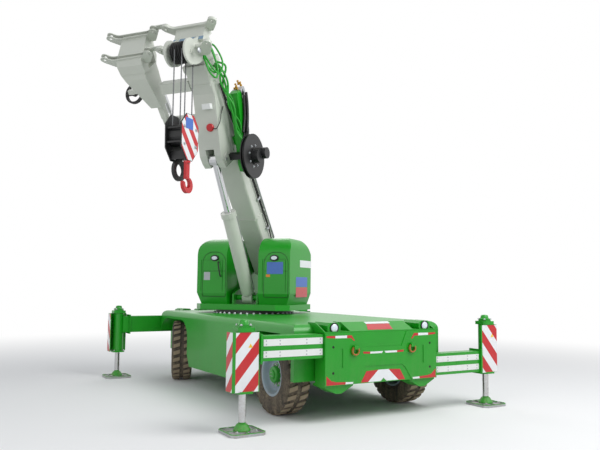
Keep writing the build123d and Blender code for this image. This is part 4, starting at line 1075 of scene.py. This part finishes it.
class CRANE_OT_side_gear(bpy.types.Operator):
    """Adds the hose bundle, the reel's coils, valves, rods, a strip of painted shade on the head's lip and the
    jib's fittings
    """

    bl_idname = "crane.side_gear"
    bl_label = "Hoses, Reel and Jib"

    # each path in lateral, height over the axis and place along the boom; first the hanging green hoses
    BUNDLE = (
        ((0.205, -0.02, 3.62), (0.30, -0.10, 3.58), (0.33, -0.05, 3.38), (0.35, -0.12, 3.08),
         (0.38, -0.19, 2.72), (0.40, -0.16, 2.42)),
        ((0.205, 0.02, 3.63), (0.31, -0.03, 3.55), (0.30, -0.12, 3.34), (0.37, -0.06, 3.03),
         (0.35, -0.17, 2.70), (0.43, -0.22, 2.40)),
        ((0.205, 0.06, 3.62), (0.28, 0.05, 3.54), (0.36, -0.02, 3.32), (0.33, -0.15, 3.00),
         (0.41, -0.12, 2.66), (0.38, -0.24, 2.38)),
        ((0.205, 0.10, 3.63), (0.33, 0.12, 3.52), (0.29, -0.08, 3.28), (0.40, -0.13, 2.96),
         (0.37, -0.22, 2.62), (0.44, -0.26, 2.44)),
    )
    # loops that stay on the head when it slides out
    LOOPS = (
        ((0.172, 0.08, 3.90), (0.235, 0.05, 3.82), (0.29, -0.05, 3.66), (0.31, -0.20, 3.56),
         (0.27, -0.26, 3.66), (0.172, -0.16, 3.82)),
        ((0.172, 0.04, 3.94), (0.25, 0.00, 3.84), (0.33, -0.12, 3.62), (0.34, -0.26, 3.50),
         (0.28, -0.30, 3.62), (0.172, -0.14, 3.86)),
        ((0.172, 0.12, 3.92), (0.26, 0.12, 3.84), (0.36, 0.02, 3.64), (0.36, -0.16, 3.52),
         (0.30, -0.22, 3.64), (0.172, -0.12, 3.84)),
    )
    # black hoses from the valves down to the reel
    RODS = (
        ((0.45, 0.20, 3.06), (0.455, 0.12, 2.90), (0.455, 0.00, 2.72), (0.45, -0.17, 2.54)),
        ((0.49, 0.22, 3.04), (0.495, 0.14, 2.88), (0.495, 0.02, 2.70), (0.49, -0.12, 2.52)),
        ((0.46, 0.26, 3.02), (0.465, 0.19, 2.86), (0.465, 0.08, 2.68), (0.46, -0.06, 2.50)),
        ((0.35, 0.29, 3.09), (0.40, 0.27, 2.98), (0.43, 0.16, 2.80),
         (0.42, -0.02, 2.58), (0.45, -0.20, 2.46)),
        ((0.40, 0.27, 3.09), (0.44, 0.20, 2.96), (0.48, 0.10, 2.78),
         (0.47, -0.06, 2.56), (0.48, -0.20, 2.44)),
        ((0.33, 0.22, 3.06), (0.37, 0.16, 2.92), (0.45, 0.06, 2.74),
         (0.49, -0.08, 2.54), (0.50, -0.18, 2.46)),
    )
    FITTINGS = (
        (0.30, 0.30, 3.10), (0.345, 0.32, 3.14), (0.39, 0.30, 3.12), (0.30, 0.235, 3.06), (0.35, 0.22, 3.10)
    )
    STAY = ((0.205, 0.20, 2.98), (0.26, 0.22, 3.00), (0.30, 0.25, 3.03))
    # radius and height of a union
    UNION = ((0.020, 0.0), (0.020, 0.022), (0.013, 0.026), (0.013, 0.052), (0.018, 0.054), (0.018, 0.070),
             (0.006, 0.072))

    def execute(self, context):
        green = finish(
            "green_hose", context.scene.crane_colours.body, 0.42, coat=0.1, dust=0.12, mottle=0.4, bump=0.3
        )
        boom_tubes("hose_bundle", self.BUNDLE, 0.016, green, steps=10)
        boom_tubes("head_loops", self.LOOPS, 0.014, green, "boom_head", steps=10)
        boom_tubes("valve_rods", self.RODS, 0.019, "hose_rubber", steps=6)
        reel = boom_spot(0, -0.33, 2.19, BOOM_TOP, ALONG)
        coils = [hoop(reel, r, 0.0105, z, 60, 8) for r in (0.262, 0.284, 0.306) for z in (0.553, 0.573)]
        piece("reel_coils", coils, "hose_rubber", "boom")
        rims = [hoop(reel, 0.344, 0.006, z, 72, 8) for z in (0.533, 0.593)]
        piece("reel_rims", rims, "black_paint", "boom")
        piece("reel_bolts", [bolts(ring_places(reel, 0.17, 8, 0.600), 0.020, 0.012)], "zinc", "boom")
        fittings = [boom_spot(*at) for at in self.FITTINGS]
        piece("valve_unions", [repeated(lathe(self.UNION, 20), fittings)], "brass", "boom")
        valve = boom_spot(0.34, 0.27, 3.00)
        piece("valve_block", [block(valve, 0.16, 0.14, 0.10, 0.012, 0.006)], "zinc", "boom")
        boom_tubes("valve_stay", [self.STAY], 0.016, "body_paint", steps=6)
        # painted shade: this blue-grey strip on the head's lip stands for the shade on the downward-facing
        # edge of its upper plate
        lip = boom_spot(0, -0.134, 4.084, y=BOOM_TOP * 0.852 + ALONG * 0.524)
        grey = finish("lip_painted_shade", srgb(112, 140, 164), 0.38, coat=0.1, dust=0.15, mottle=0.2)
        sheets("lip_shade_strip", [flat_sheet(lip, rectangle(0.520, 0.058))], grey, "boom_head")
        under = boom_spot(0.06, -0.290, 3.07, y=UNDERSIDE)
        piece("boom_box", [block(under, 0.15, 0.085, 0.075, 0.008, 0.005)], "white_paint", "boom")
        wheel = Place(boom_place.at((-1.43, -0.02, 3.36)) - FORWARD * 0.105, LATERAL, UP)
        piece("jib_ring", [hoop(wheel, 0.151, 0.0165)], "black_plastic", "boom_head")
        return {"FINISHED"}


class CRANE_OT_stage(bpy.types.Operator):
    """Makes the camera, the lamps, the even light and the pale floor"""

    bl_idname = "crane.stage"
    bl_label = "Stage"

    CAMERA_SPOT = (-5.25, -9.364, 1.656)
    CAMERA_TURN = (30.834, 5.221, 0.575)      # yaw, pitch and roll in degrees
    CLIP_END = 200
    # name, side of the square and place
    LAMPS = (
        ("key", 6.0, (3.5, -7.5, 9.0)), ("fill", 7.0, (-9.0, -6.0, 5.0)), ("back", 6.0, (3.0, 9.0, 8.0)),
    )
    LAMP_AIM = (0, 0, 1.5)
    FLOOR_RADIUS, FLOOR_SIDES = 60, 64
    FLOOR_FADE = (4.0, 14.0)                  # where the floor starts to fade and where it is white

    def execute(self, context):
        stage = context.scene.crane_stage
        camera = bpy.data.cameras.new("camera")
        camera.sensor_width, camera.lens = 36.0, stage.lens
        camera.clip_end = self.CLIP_END
        view = bpy.data.objects.new("camera", camera)
        yaw, pitch, roll = np.radians(self.CAMERA_TURN)
        ahead = np.array([sin(yaw) * cos(pitch), cos(yaw) * cos(pitch), sin(pitch)])
        level = np.array([cos(yaw), -sin(yaw), 0.0])
        above = np.cross(level, ahead)
        right = level * cos(roll) + above * sin(roll)
        turned = np.array([right, np.cross(right, ahead), -ahead]).T
        spot = Matrix.Translation(chassis_place.at(self.CAMERA_SPOT))
        view.matrix_world = spot @ Matrix(turned.tolist()).to_4x4()
        context.scene.collection.objects.link(view)
        context.scene.camera = view
        for (name, size, place), power in zip(self.LAMPS, (stage.key, stage.fill, stage.fill)):
            lamp = bpy.data.lights.new(name, "AREA")
            lamp.energy, lamp.size = power, size
            made = bpy.data.objects.new(name, lamp)
            made.location = place
            toward = Vector(self.LAMP_AIM) - made.location
            made.rotation_euler = toward.to_track_quat("-Z", "Y").to_euler()
            context.scene.collection.objects.link(made)
        self.world(context.scene, stage.ambient)
        self.floor()
        context.scene.view_settings.view_transform = "Standard"
        return {"FINISHED"}

    def pale_rays(self, tree):
        """1 where a camera, mirror or glass ray looks, so that those see the pale backdrop."""
        rays = put(tree, "LightPath").outputs
        seen = calc(tree, "MAXIMUM", rays["Is Camera Ray"], rays["Is Glossy Ray"])
        return calc(tree, "MAXIMUM", seen, rays["Is Transmission Ray"])

    def world(self, scene, ambient):
        """Even light from all round, seen as white by the camera and as pale by gloss."""
        scene.world = bpy.data.worlds.new("even_light")
        scene.world.use_nodes = True
        tree = scene.world.node_tree
        tree.nodes.clear()
        light = put(tree, "Background", {"Color": (0.93, 0.96, 1.0, 1), "Strength": ambient})
        seen = put(tree, "Background", {"Color": (1, 1, 1, 1), "Strength": 1.0})
        both = put(tree, "MixShader", {0: self.pale_rays(tree), 1: light.outputs[0], 2: seen.outputs[0]})
        tree.links.new(both.outputs[0], put(tree, "OutputWorld").inputs["Surface"])

    def floor(self):
        """A wide pale floor that catches the shadow and fades to white far out."""
        points = circle(self.FLOOR_RADIUS, self.FLOOR_SIDES)
        mesh = bpy.data.meshes.new("floor")
        mesh.from_pydata(layer(points, 0.0), [], [list(range(self.FLOOR_SIDES))])
        made = bpy.data.objects.new("floor", mesh)
        bpy.context.scene.collection.objects.link(made)
        paint = bpy.data.materials.new("floor")
        paint.use_nodes = True
        tree = paint.node_tree
        tree.nodes.clear()
        point, _ = object_point(tree)
        away = vector(tree, "LENGTH", point)["Value"]
        matt = put(tree, "BsdfDiffuse", {"Color": (0.82, 0.82, 0.82, 1)})
        white = put(tree, "Emission", {"Color": (1, 1, 1, 1), "Strength": 1.0})
        share = calc(tree, "MULTIPLY", ease(tree, away, *self.FLOOR_FADE), self.pale_rays(tree))
        both = put(tree, "MixShader", {0: share, 1: matt.outputs[0], 2: white.outputs[0]})
        finish_output(tree, both.outputs[0])
        mesh.materials.append(paint)


class CRANE_PT_looks(bpy.types.Panel):
    """Lists the settings and the operators in the order in which they run"""

    bl_idname = "CRANE_PT_looks"
    bl_label = "Turret Crane Looks"
    bl_space_type = "VIEW_3D"
    bl_region_type = "UI"
    bl_category = "Crane"

    def draw(self, context):
        for settings in (
            context.scene.crane_colours, context.scene.crane_sizes, context.scene.crane_stage
        ):
            for key in settings.__annotations__:
                self.layout.prop(settings, key)
        for step in STEPS:
            self.layout.operator(step.bl_idname)


STEPS = (
    CRANE_OT_stage, CRANE_OT_frame_finishes, CRANE_OT_tyres, CRANE_OT_rims, CRANE_OT_hazard_sheets,
    CRANE_OT_jacks, CRANE_OT_end_marks, CRANE_OT_pods, CRANE_OT_hook_block, CRANE_OT_boom_fittings,
    CRANE_OT_side_gear,
)
SETTINGS = (
    ("crane_colours", CraneColours), ("crane_sizes", CraneSizes), ("crane_stage", CraneStage)
)


def register():
    """Registers the settings, the operators and the panel."""
    for name, group in SETTINGS:
        bpy.utils.register_class(group)
        setattr(bpy.types.Scene, name, PointerProperty(type=group))
    for step in (*STEPS, CRANE_PT_looks):
        bpy.utils.register_class(step)


def unregister():
    """Takes away what register added, in the opposite order."""
    for step in reversed((*STEPS, CRANE_PT_looks)):
        bpy.utils.unregister_class(step)
    for name, group in reversed(SETTINGS):
        delattr(bpy.types.Scene, name)
        bpy.utils.unregister_class(group)


def main():
    """Runs every operator in order."""
    register()
    for step in STEPS:
        group, name = step.bl_idname.split(".")
        getattr(getattr(bpy.ops, group), name)()


if __name__ == "__main__":
    main()
